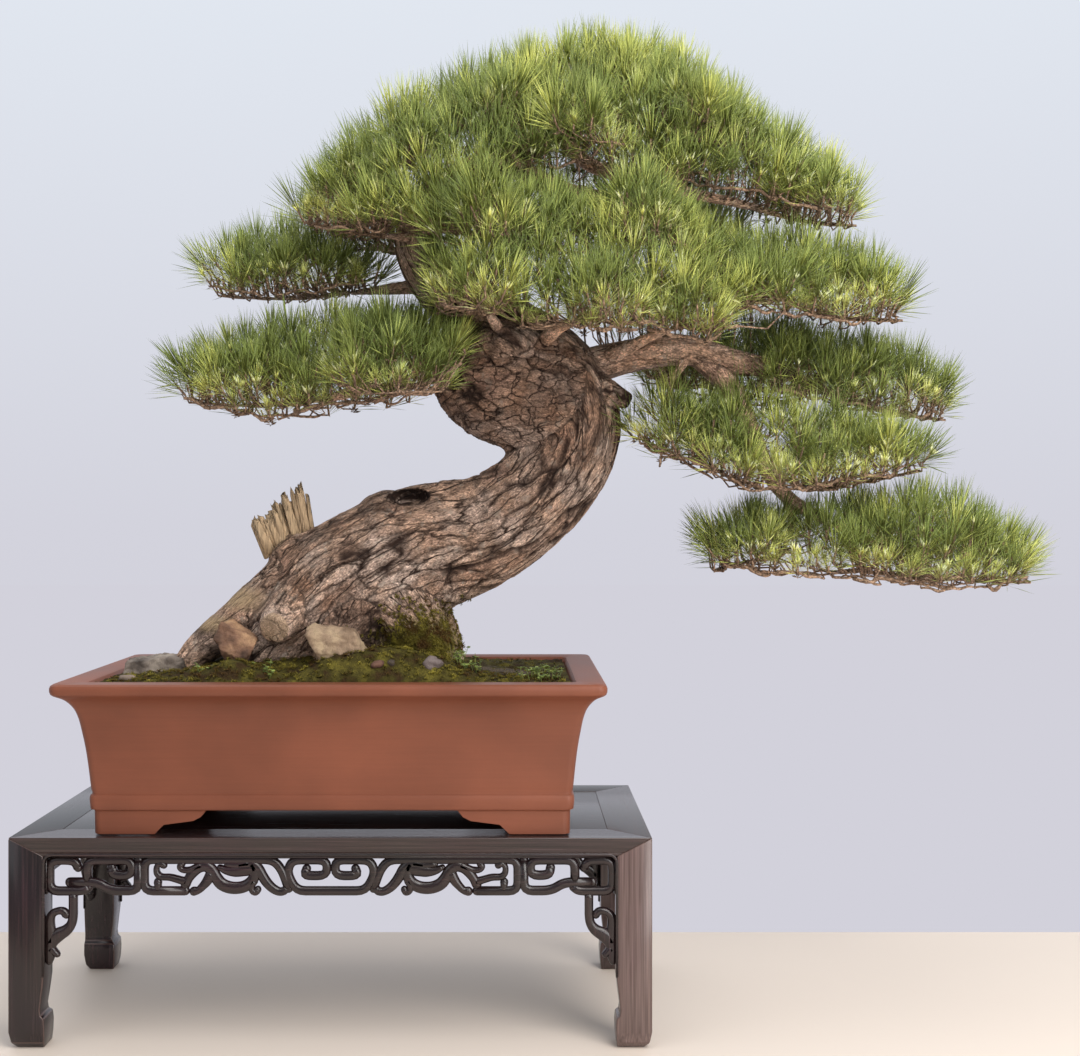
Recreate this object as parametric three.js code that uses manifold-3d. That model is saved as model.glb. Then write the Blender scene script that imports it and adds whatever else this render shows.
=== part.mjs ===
// Pine bonsai in a rectangular clay pot on a carved wooden stand.
// Sizes are in millimetres, +Z is up, and the front faces -Y.
// Everything is laid out around the middle of the stand, on the floor at z = 0.
import * as THREE from "three";
import { mergeVertices } from "three/addons/utils/BufferGeometryUtils.js";
import Module from "manifold-3d";

const wasm = await Module();
wasm.setup();
const { Manifold, Mesh: SolidMesh } = wasm;

// Clearance between touching pieces
const GAP = 0.3;

// Stand
const STAND = { width: 920, depth: 415, height: 302 };
const RAIL = { width: 60, thick: 26, ledge: 8, rebate: 12.8 };
const LEG = { width: 50, depth: 45 };
const APRON = { thick: 12, recess: 6 };

// Pot, measured at its rim. Its corners are a little tighter inside than at the rim.
const POT = { width: 790, depth: 480, height: 221.5, floor: 50, corner: 9, tighter: 0.03 };
const POT_Z = STAND.height + GAP;
const FOOT_ARCH = { front: 181, side: 44 };
const DRAIN = { radius: 15, spacing: 330 };

// Needle of the pine, a pair standing as one spike
const NEEDLE = { length: 64, spread: 7, stem: 1.5, step: 2.6 };

const ROSEWOOD = new THREE.MeshStandardMaterial({ color: 0x38251f, roughness: 0.42, metalness: 0 });
const CLAY = new THREE.MeshStandardMaterial({ color: 0x8a4b3a, roughness: 0.7, metalness: 0 });
const EARTH = new THREE.MeshStandardMaterial({ color: 0x6f5b3c, roughness: 0.95, metalness: 0 });
const BARK = new THREE.MeshStandardMaterial({ color: 0x76625a, roughness: 0.9, metalness: 0 });
const ROCK = new THREE.MeshStandardMaterial({ color: 0x9c7750, roughness: 0.88, metalness: 0 });
const NEEDLES = new THREE.MeshStandardMaterial({ color: 0x4f8436, roughness: 0.55, metalness: 0 });

const QUARTER = Math.PI / 2;
const V = (x, y, z) => new THREE.Vector3(x, y, z);

function group(name, parent) {
  const made = new THREE.Group();
  made.name = name;
  if (parent) parent.add(made);
  return made;
}

const root = group("pine_bonsai");
const stand = group("stand", root);
const planter = group("planter", root);
const tree = group("tree", root);

// Seeded random numbers from 0 to 1
function seeded(seed) {
  let state = seed >>> 0;
  return () => {
    state = (state + 0x6d2b79f5) >>> 0;
    let t = state;
    t = Math.imul(t ^ (t >>> 15), t | 1);
    t ^= t + Math.imul(t ^ (t >>> 7), t | 61);
    return ((t ^ (t >>> 14)) >>> 0) / 4294967296;
  };
}

// A closed geometry as a solid that can be joined and cut
function solid(geometry) {
  const flat = geometry.index ? geometry.toNonIndexed() : geometry;
  const bare = new THREE.BufferGeometry();
  bare.setAttribute("position", flat.getAttribute("position"));
  const merged = mergeVertices(bare, 1e-4);
  const index = merged.index.array;
  const kept = [];
  for (let i = 0; i < index.length; i += 3) {
    const [a, b, c] = [index[i], index[i + 1], index[i + 2]];
    if (a !== b && b !== c && c !== a) kept.push(a, b, c);
  }
  return new Manifold(
    new SolidMesh({
      numProp: 3,
      vertProperties: new Float32Array(merged.attributes.position.array),
      triVerts: new Uint32Array(kept),
    }),
  );
}

// The solid's surface as a three.js geometry, measured from a point that will place it
function surface(body, from = V(0, 0, 0)) {
  const data = body.getMesh();
  const geometry = new THREE.BufferGeometry();
  const points = new THREE.BufferAttribute(new Float32Array(data.vertProperties), 3);
  geometry.setAttribute("position", points);
  geometry.setIndex(new THREE.BufferAttribute(new Uint32Array(data.triVerts), 1));
  return geometry.translate(-from.x, -from.y, -from.z);
}

// One named piece, placed by its position, its turn about the upright axis and its mirroring
function piece(parent, name, geometry, finish, { at = V(0, 0, 0), turn = 0, flip = [1, 1] } = {}) {
  const mesh = new THREE.Mesh(geometry, finish.clone());
  mesh.name = name;
  mesh.position.copy(at);
  mesh.rotation.z = turn;
  mesh.scale.set(flip[0], flip[1], 1);
  parent.add(mesh);
}

// Outline in x and z, made thick along +Y from the plane y = 0
function upright(outline, thick, holes = []) {
  const shape = new THREE.Shape(outline.map(([x, z]) => new THREE.Vector2(x, z)));
  for (const hole of holes) {
    shape.holes.push(new THREE.Path(hole.map(([x, z]) => new THREE.Vector2(x, z))));
  }
  const geometry = new THREE.ExtrudeGeometry(shape, { depth: thick, bevelEnabled: false });
  return geometry.rotateX(QUARTER).translate(0, thick, 0);
}

// Keeps the side of a plane through a corner that the normal points to, half a gap back
function keepSide(body, corner, normal) {
  const unit = normal.clone().normalize();
  return body.trimByPlane([unit.x, unit.y, unit.z], unit.dot(corner) + GAP / 2);
}

const HALF_W = STAND.width / 2;
const HALF_D = STAND.depth / 2;

// Rail of the top frame along X, its outer face at y = 0, with a bead under that face and a
// ledge inside for the panel. Its ends are mitred to the next rails and to the legs.
function railSolid(length, legAcross) {
  const top = STAND.height;
  const low = top - RAIL.thick;
  const ledgeTop = top - RAIL.rebate;
  const inner = RAIL.width;
  const profile = [
    [0, top - 1],
    [0, low + 5.6],
    [1.3, low + 5],
    [1.3, low + 4.2],
    [0, low + 3.6],
    [0, low + 0.8],
    [0.8, low],
    [inner + RAIL.ledge, low],
    [inner + RAIL.ledge, ledgeTop],
    [inner, ledgeTop],
    [inner, top],
    [1, top],
  ];
  const bar = upright(profile, length).translate(0, -length / 2, 0);
  let body = solid(bar.rotateZ(QUARTER));
  for (const side of [-1, 1]) {
    const corner = V((side * length) / 2, 0, top);
    body = keepSide(body, corner, V(-side, -1, 0));
    body = keepSide(body, corner, V(-side * RAIL.thick, 0, legAcross));
  }
  return body;
}

function buildFrame() {
  const long = surface(railSolid(STAND.width, LEG.width));
  const short = surface(railSolid(STAND.depth, LEG.depth));
  piece(stand, "stand_rail_front", long, ROSEWOOD, { at: V(0, -HALF_D, 0) });
  piece(stand, "stand_rail_back", long, ROSEWOOD, { at: V(0, HALF_D, 0), turn: Math.PI });
  piece(stand, "stand_rail_left", short, ROSEWOOD, { at: V(-HALF_W, 0, 0), turn: -QUARTER });
  piece(stand, "stand_rail_right", short, ROSEWOOD, { at: V(HALF_W, 0, 0), turn: QUARTER });

  const panel = new THREE.BoxGeometry(
    STAND.width - 2 * RAIL.width - 2 * GAP,
    STAND.depth - 2 * RAIL.width - 2 * GAP,
    RAIL.rebate - 2 * GAP,
  );
  const panelAt = V(0, 0, STAND.height - RAIL.rebate / 2);
  piece(stand, "stand_panel", surface(solid(panel)), ROSEWOOD, { at: panelAt });
}

// Side view of a leg: u from its outer side, with the hoof stepping out at the bottom
function legOutline(width) {
  return [
    [10, 0],
    [width - 0.5, 0],
    [width + 1, 14],
    [width + 1.5, 30],
    [width + 0.5, 43],
    [width - 4, 47.5],
    [width - 5, 56],
    [width - 3, 72],
    [width, 98],
    [width, STAND.height],
    [0, STAND.height],
    [0, 24],
    [3, 8],
  ];
}

// The four corners of the stand: name, side along X and side along Y
const CORNERS = [
  ["front_left", -1, -1],
  ["front_right", 1, -1],
  ["back_left", -1, 1],
  ["back_right", 1, 1],
];

// A leg with its outer corner on the upright axis, cut from two outlines at right angles
function buildLegs() {
  const stock = LEG.width + 10;
  const seenFromFront = upright(legOutline(LEG.width), stock);
  const seenFromSide = upright(legOutline(LEG.depth), stock).translate(0, -stock, 0);
  let leg = solid(seenFromFront).intersect(solid(seenFromSide.rotateZ(QUARTER)));
  const corner = V(0, 0, STAND.height);
  leg = keepSide(leg, corner, V(-RAIL.thick, 0, -LEG.width));
  leg = keepSide(leg, corner, V(0, -RAIL.thick, -LEG.depth));
  for (const [name, sideX, sideY] of CORNERS) {
    const at = V(sideX * HALF_W, sideY * HALF_D, 0);
    piece(stand, "stand_leg_" + name, surface(leg), ROSEWOOD, { at, flip: [-sideX, -sideY] });
  }
}

// Outline of a flat bar of even width along a line of points, with square ends
function strokeOutline(points, width) {
  const half = width / 2;
  const left = [];
  const right = [];
  for (let i = 0; i < points.length; i++) {
    const here = new THREE.Vector2(...points[i]);
    const before = new THREE.Vector2(...points[Math.max(0, i - 1)]);
    const after = new THREE.Vector2(...points[Math.min(points.length - 1, i + 1)]);
    const into = here.clone().sub(before);
    const out = after.clone().sub(here);
    if (into.length() === 0) into.copy(out);
    if (out.length() === 0) out.copy(into);
    into.normalize();
    out.normalize();
    const normal = V(-(into.y + out.y), into.x + out.x, 0).normalize();
    const mitre = half / Math.max(0.7, normal.x * -into.y + normal.y * into.x);
    left.push([here.x + normal.x * mitre, here.y + normal.y * mitre]);
    right.push([here.x - normal.x * mitre, here.y - normal.y * mitre]);
  }
  return right.concat(left.reverse());
}

function ring(centre, radius, count) {
  const points = [];
  for (let i = 0; i < count; i++) {
    const angle = ((i + 0.5) / count) * 2 * Math.PI;
    points.push([centre[0] + radius * Math.cos(angle), centre[1] + radius * Math.sin(angle)]);
  }
  return points;
}

// Left half of the front fretwork, x from the apron's middle, as bars of a given width
const FRET_FRONT = [
  { width: 3.4, line: [[-408, 275.2], [-408, 222]] },
  { width: 9.9, line: [[-366, 261], [-369, 270], [-402, 270], [-402, 226.5], [-346, 226.5]] },
  { width: 9.4, line: [[-376, 235.4], [-334, 235.4], [-314, 225], [-279, 225]] },
  { width: 8.9, line: [[-350, 238], [-350, 269.9], [-279, 269.9], [-279, 226]] },
  { width: 6.6, line: [[-287, 267], [-287, 249.4], [-313, 249.4], [-313, 256.5]] },
  { width: 9.2, line: [[-272, 270.3], [-84, 270.3], [-71, 256], [-62, 227]] },
  { width: 9.2, line: [[-270, 270.3], [-270, 224.2], [-206, 224.2]] },
  { width: 6.9, line: [[-239, 262], [-249, 260], [-252, 250], [-246, 243.5], [-208, 236]] },
  { width: 6.9, line: [[-215, 268], [-213, 256], [-204, 253.6], [-187, 262]] },
  { width: 10.9, line: [[-209, 230], [-197, 255], [-180, 258], [-168, 244]] },
  { width: 9, line: [[-205, 226], [-190, 226], [-171, 245]] },
  { width: 12.9, line: [[-175, 256], [-160, 233], [-138, 228.6], [-117, 236], [-113, 256]] },
  { width: 10.9, line: [[-151, 250.5], [-107, 260]] },
  { width: 11.7, line: [[-116, 259], [-103, 251], [-88, 231], [-74, 223.4], [-60, 226.4]] },
  { width: 9.2, line: [[-34, 254], [-34, 244.5], [-6, 244.5], [-6, 268], [-58, 268]] },
  { width: 9.2, line: [[-54, 270.3], [-61.5, 250], [-49, 224.5], [0, 224.5]] },
  { width: 5, line: [[-60, 272.6], [0, 272.6]] },
];
const FRET_FRONT_KNOBS = [
  { centre: [-249, 234.4], radius: 6.6 },
  { centre: [-110, 225.4], radius: 6.4 },
];
// Shorter pattern of the two ends
const FRET_SIDE = [
  { width: 3.4, line: [[-160.6, 275.2], [-160.6, 222]] },
  { width: 9.9, line: [[-118, 261], [-121, 270], [-155, 270], [-155, 226.5], [-98, 226.5]] },
  { width: 9.4, line: [[-128, 235.4], [-88, 235.4], [-76, 227]] },
  { width: 8.9, line: [[-102, 238], [-102, 269.9], [-70, 269.9]] },
  { width: 9.2, line: [[-34, 254], [-34, 244.5], [-6, 244.5], [-6, 268], [-70, 268]] },
  { width: 9.2, line: [[-78, 271], [-81, 250], [-70, 224.5], [0, 224.5]] },
];

function fretwork(bars, knobs) {
  const joined = [];
  for (const side of [1, -1]) {
    for (const { width, line } of bars) {
      const points = line.map(([x, z]) => [side * x, z]);
      joined.push(solid(upright(strokeOutline(points, width), APRON.thick)));
    }
    for (const { centre, radius } of knobs) {
      const knob = ring([side * centre[0], centre[1]], radius, 7);
      joined.push(solid(upright(knob, APRON.thick)));
    }
  }
  return surface(Manifold.union(joined));
}

function buildAprons() {
  const outX = HALF_W - APRON.recess;
  const outY = HALF_D - APRON.recess;
  const long = fretwork(FRET_FRONT, FRET_FRONT_KNOBS);
  const short = fretwork(FRET_SIDE, []);
  piece(stand, "stand_apron_front", long, ROSEWOOD, { at: V(0, -outY, 0) });
  piece(stand, "stand_apron_back", long, ROSEWOOD, { at: V(0, outY, 0), turn: Math.PI });
  piece(stand, "stand_apron_left", short, ROSEWOOD, { at: V(-outX, 0, 0), turn: -QUARTER });
  piece(stand, "stand_apron_right", short, ROSEWOOD, { at: V(outX, 0, 0), turn: QUARTER });
}

// Bracket between apron and leg: u from the leg, z from the floor
const BRACKET = [
  [0, 119],
  [10.6, 119.5],
  [21, 131],
  [22, 137.5],
  [16, 146],
  [16, 155],
  [24, 163],
  [37, 170],
  [45, 181],
  [45, 219.4],
  [33.5, 219.4],
  [33.5, 196],
  [22, 202],
  [10, 197],
  [0, 195],
];
const BRACKET_EYE = [
  [17, 181],
  [17, 186],
  [22, 188],
  [26, 183.5],
  [31, 184.5],
  [30, 179],
  [23, 177.5],
];

// One bracket beside each leg under the long aprons, and one under the short aprons
function buildBrackets() {
  const shape = surface(solid(upright(BRACKET, APRON.thick, [BRACKET_EYE])));
  const besideLeg = HALF_W - LEG.width - GAP;
  const behindLeg = HALF_D - LEG.depth - GAP;
  for (const [name, sideX, sideY] of CORNERS) {
    const at = V(sideX * besideLeg, sideY * (HALF_D - APRON.recess), 0);
    piece(stand, "stand_bracket_" + name, shape, ROSEWOOD, { at, flip: [-sideX, -sideY] });
  }
  for (const [name, sideX, sideY] of CORNERS) {
    const at = V(sideX * (HALF_W - APRON.recess), sideY * behindLeg, 0);
    const placing = { at, turn: sideX * QUARTER, flip: [-sideX * sideY, 1] };
    const sideFirst = name.split("_").reverse().join("_");
    piece(stand, "stand_bracket_" + sideFirst, shape, ROSEWOOD, placing);
  }
}

// Points of a rounded rectangle, corner by corner, with extra points along the sides
function roundedRing(a, b, radius, sides) {
  const points = [];
  const corners = [
    [1, 1],
    [-1, 1],
    [-1, -1],
    [1, -1],
  ];
  for (let q = 0; q < 4; q++) {
    const [sx, sy] = corners[q];
    for (let i = 0; i <= 2; i++) {
      const angle = ((q + i / 2) * Math.PI) / 2;
      const x = sx * (a - radius) + radius * Math.cos(angle);
      const y = sy * (b - radius) + radius * Math.sin(angle);
      points.push([x, y]);
    }
    const extra = q % 2 === 0 ? sides[0] : sides[1];
    const start = points[points.length - 1];
    const [nx, ny] = corners[(q + 1) % 4];
    const endAngle = ((q + 1) * Math.PI) / 2;
    const end = [
      nx * (a - radius) + radius * Math.cos(endAngle),
      ny * (b - radius) + radius * Math.sin(endAngle),
    ];
    for (let i = 1; i <= extra; i++) {
      const t = i / (extra + 1);
      points.push([start[0] + (end[0] - start[0]) * t, start[1] + (end[1] - start[1]) * t]);
    }
  }
  return points;
}

// A turned profile with its rings remapped onto rounded rectangles.
// Each ring is { inset, z, scale } and may lift its points by a height function.
function rectangularLoft(rings, sides = [0, 0], lift = null) {
  const a = POT.width / 2;
  const b = POT.depth / 2;
  const count = roundedRing(a, b, 1, sides).length;
  const profile = rings.map((r, i) => new THREE.Vector2(r.scale === 0 ? 0 : 10 + i, r.z));
  const geometry = new THREE.LatheGeometry(profile, count);
  const position = geometry.getAttribute("position");
  for (let k = 0; k < position.count; k++) {
    const r = rings[k % rings.length];
    const step = Math.floor(k / rings.length) % count;
    const scale = r.scale ?? 1;
    const inset = r.inset ?? 0;
    const corner = POT.corner - inset * POT.tighter;
    const [x, y] = roundedRing(a - inset, b - inset, corner, sides)[step];
    const z = r.lifted ? lift(x * scale, y * scale) : r.z;
    position.setXYZ(k, x * scale, y * scale, z);
  }
  return geometry;
}

// Wall of the pot from the middle of its underside, round the lip and down to its floor
const POT_RINGS = [
  { scale: 0, z: 35 },
  { inset: 69, z: 35 },
  { inset: 67.5, z: 0 },
  { inset: 53.5, z: 0 },
  { inset: 51, z: 34.5 },
  { inset: 46.5, z: 37.5 },
  { inset: 45.2, z: 50 },
  { inset: 46.4, z: 57 },
  { inset: 48.4, z: 59.4 },
  { inset: 47, z: 66 },
  { inset: 43.5, z: 102 },
  { inset: 40.3, z: 128 },
  { inset: 36, z: 153 },
  { inset: 32.5, z: 170 },
  { inset: 27, z: 184.5 },
  { inset: 17, z: 197 },
  { inset: 4.6, z: 204 },
  { inset: 0, z: 211 },
  { inset: 1.5, z: 219 },
  { inset: 5, z: POT.height },
  { inset: 42, z: POT.height },
  { inset: 50, z: 205 },
  { inset: 56, z: 185 },
  { inset: 60, z: 120 },
  { inset: 62, z: POT.floor },
  { scale: 0, z: POT.floor },
];

// Arch between the corner feet, from below the pot's bottom up to its underside
function footArch(halfTop, through) {
  const half = [
    [halfTop, 35.3],
    [halfTop + 8, 25.5],
    [halfTop + 19, 20],
    [halfTop + 61, 14.5],
    [halfTop + 74, 2],
    [halfTop + 76, -5],
  ];
  const outline = half.concat(half.map(([x, z]) => [-x, z]).reverse());
  return upright(outline, through).translate(0, -through / 2, 0);
}

function buildPot() {
  let pot = solid(rectangularLoft(POT_RINGS));
  pot = pot.subtract(solid(footArch(FOOT_ARCH.front, POT.depth)));
  pot = pot.subtract(solid(footArch(FOOT_ARCH.side, POT.width).rotateZ(QUARTER)));
  for (const side of [-1, 1]) {
    const drain = new THREE.CylinderGeometry(DRAIN.radius, DRAIN.radius, POT.floor, 9);
    drain.rotateX(QUARTER).translate((side * DRAIN.spacing) / 2, 0, POT.floor - 8);
    pot = pot.subtract(solid(drain));
  }
  piece(planter, "pot", surface(pot), CLAY);
}

// Height of the soil over the pot's bottom: level at the wall, mounded round the trunk
const SOIL_LEVEL = 212;
const MOUNDS = [
  { x: -20, y: 10, height: 60, reachX: 185, reachY: 125 },
  { x: 120, y: -75, height: 20, reachX: 60, reachY: 55 },
];

function soilHeight(x, y) {
  let z = SOIL_LEVEL + 1.6 * Math.sin(x * 0.045 + 1) * Math.sin(y * 0.06);
  for (const m of MOUNDS) {
    z += m.height * Math.exp(-(((x - m.x) / m.reachX) ** 2) - ((y - m.y) / m.reachY) ** 2);
  }
  return z;
}

const SOIL_EDGE = { inset: 47.4, z: 211.5 };
const SOIL_WALL = [
  { scale: 0, z: POT.floor + 0.4 },
  { inset: 62.4, z: POT.floor + 0.4 },
  { inset: 60.4, z: 120 },
  { inset: 56.4, z: 185 },
  { inset: 50.4, z: 205 },
];
const SOIL_TOP = [0.84, 0.66, 0.48, 0.28, 0];
const SOIL_SIDES = [5, 2];

// The soil, measured from the pot's bottom. Raised a little, and put where the tree is, it also
// trims what rests on it.
function soilSolid(raise, bottom) {
  const rings = [...SOIL_WALL, { ...SOIL_EDGE, z: SOIL_EDGE.z + raise }];
  for (const scale of SOIL_TOP) rings.push({ ...SOIL_EDGE, scale, lifted: true });
  const loft = rectangularLoft(rings, SOIL_SIDES, (x, y) => soilHeight(x, y) + raise);
  return solid(loft.translate(0, 0, bottom));
}

// The trunk's underground part, and grown a little, the plain hole it stands in
const PLUG = { x: 10, y: 0, rx: 105, ry: 66, low: 92, high: 262 };

function plug(grow, bottom) {
  const geometry = new THREE.CylinderGeometry(1, 1, 1, 14).rotateX(QUARTER);
  const low = bottom + PLUG.low - grow;
  const high = bottom + PLUG.high;
  geometry.scale(PLUG.rx + grow, PLUG.ry + grow, high - low);
  return solid(geometry.translate(PLUG.x, PLUG.y, (low + high) / 2));
}

// A closed tube along a smooth line of points, its radius given at each point
function limb(points, radii, sides, steps, grow = 0, relief = null, flat = 1) {
  const curve = new THREE.CatmullRomCurve3(points.map((p) => V(...p)));
  const last = points.length - 1;
  const frames = [];
  const normal = V(0, 1, 0);
  for (let i = 0; i <= steps; i++) {
    const t = i / steps;
    const tangent = curve.getTangent(t).normalize();
    if (i === 0 && Math.abs(tangent.y) > 0.9) normal.set(1, 0, 0);
    normal.addScaledVector(tangent, -normal.dot(tangent)).normalize();
    const at = Math.min(last - 1e-6, t * last);
    const low = Math.floor(at);
    const radius = THREE.MathUtils.lerp(radii[low], radii[low + 1], at - low);
    const across = tangent.clone().cross(normal);
    frames.push({ centre: curve.getPoint(t), normal: normal.clone(), across, radius });
  }
  const geometry = new THREE.CylinderGeometry(1, 1, 1, sides, steps);
  const position = geometry.getAttribute("position");
  for (let k = 0; k < position.count; k++) {
    const x = position.getX(k);
    const z = position.getZ(k);
    const step = Math.round((position.getY(k) + 0.5) * steps);
    const frame = frames[step];
    const rough = relief ? relief(step / steps, Math.atan2(z, x)) : 1;
    const radius = frame.radius * rough + grow;
    const place = frame.centre
      .clone()
      .addScaledVector(frame.normal, x * radius * flat)
      .addScaledVector(frame.across, -z * radius);
    position.setXYZ(k, place.x, place.y, place.z);
  }
  return solid(geometry);
}

// Long ridges and hollows of old bark
function barkRelief(t, angle) {
  const ridges = 0.05 * Math.sin(3 * angle + 7 * t) + 0.03 * Math.sin(5 * angle - 11 * t + 1);
  return 1 + ridges + 0.03 * Math.sin(23 * t + 2 * Math.sin(angle));
}

const TRUNK_LINE = [
  [-128, 0, 517],
  [-65, 0, 575],
  [9, 0, 646],
  [115, 0, 706],
  [225, 0, 748],
  [312, 0, 811],
  [354, 0, 882],
  [343, 0, 952],
  [288, 0, 1015],
  [217, 0, 1073],
  [147, 0, 1125],
  [112, 0, 1196],
  [147, 0, 1266],
  [241, 0, 1321],
  [335, 0, 1369],
  [398, 0, 1424],
];
const TRUNK_RADII = [95, 105, 118, 103, 88, 78, 74, 80, 78, 58, 44, 37, 32, 27, 20, 10];
const STUMP = {
  line: [[30, 0, 480], [44, 0, 560], [70, 0, 630], [104, 0, 690]],
  radii: [128, 122, 108, 70],
};
const ROOTS = [
  { line: [[-90, -20, 640], [-165, -30, 592], [-222, -40, 555], [-262, -45, 512]], r: [58, 40, 27, 14] },
  { line: [[-50, -50, 640], [-95, -100, 598], [-104, -122, 572]], r: [46, 32, 25] },
  { line: [[20, -60, 620], [-8, -92, 575], [-16, -118, 520]], r: [60, 34, 18] },
  { line: [[90, -50, 620], [130, -84, 575], [152, -108, 520]], r: [60, 38, 18] },
  { line: [[100, 10, 620], [158, 8, 575], [196, 4, 518]], r: [60, 38, 18] },
  { line: [[0, 50, 640], [-20, 92, 580], [-30, 128, 520]], r: [60, 36, 18] },
  { line: [[90, 40, 630], [122, 82, 580], [138, 112, 520]], r: [60, 34, 18] },
];

// Swelling where the trunk turns back
const KNOB = { at: [265, -8, 963], size: [133, 95, 97], tilt: 0.26 };

function bole(grow) {
  const knob = new THREE.SphereGeometry(1, 10, 7).scale(...KNOB.size.map((v) => v + grow));
  knob.rotateY(KNOB.tilt).translate(...KNOB.at);
  const parts = [
    limb(TRUNK_LINE, TRUNK_RADII, 15, 20, grow, barkRelief, 0.95),
    limb(STUMP.line, STUMP.radii, 10, 3, grow, null, 0.74),
    solid(knob),
  ];
  for (const { line, r } of ROOTS) parts.push(limb(line, r, 6, 2, grow));
  return Manifold.union(parts);
}

// Splinters of dead wood on the trunk's upper side: foot, tip, radius at the foot
const SPLINTERS = [
  { foot: [-92, -10, 676], tip: [-148, -18, 742], r: 15 },
  { foot: [-84, -14, 680], tip: [-121, -6, 792], r: 13 },
  { foot: [-74, -6, 684], tip: [-99, -10, 815], r: 14 },
  { foot: [-62, 4, 690], tip: [-74, 8, 802], r: 14 },
  { foot: [-50, -8, 694], tip: [-47, -14, 806], r: 14 },
  { foot: [-38, 6, 700], tip: [-33, 10, 766], r: 13 },
];
// Hollow at the top of the lower trunk, and a broken branch on its right
const HOLLOW = { at: [117, -26, 806], size: [34, 27, 24] };
const STUB = { foot: [380, -10, 952], tip: [432, -22, 966], r: [16, 12] };

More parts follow.
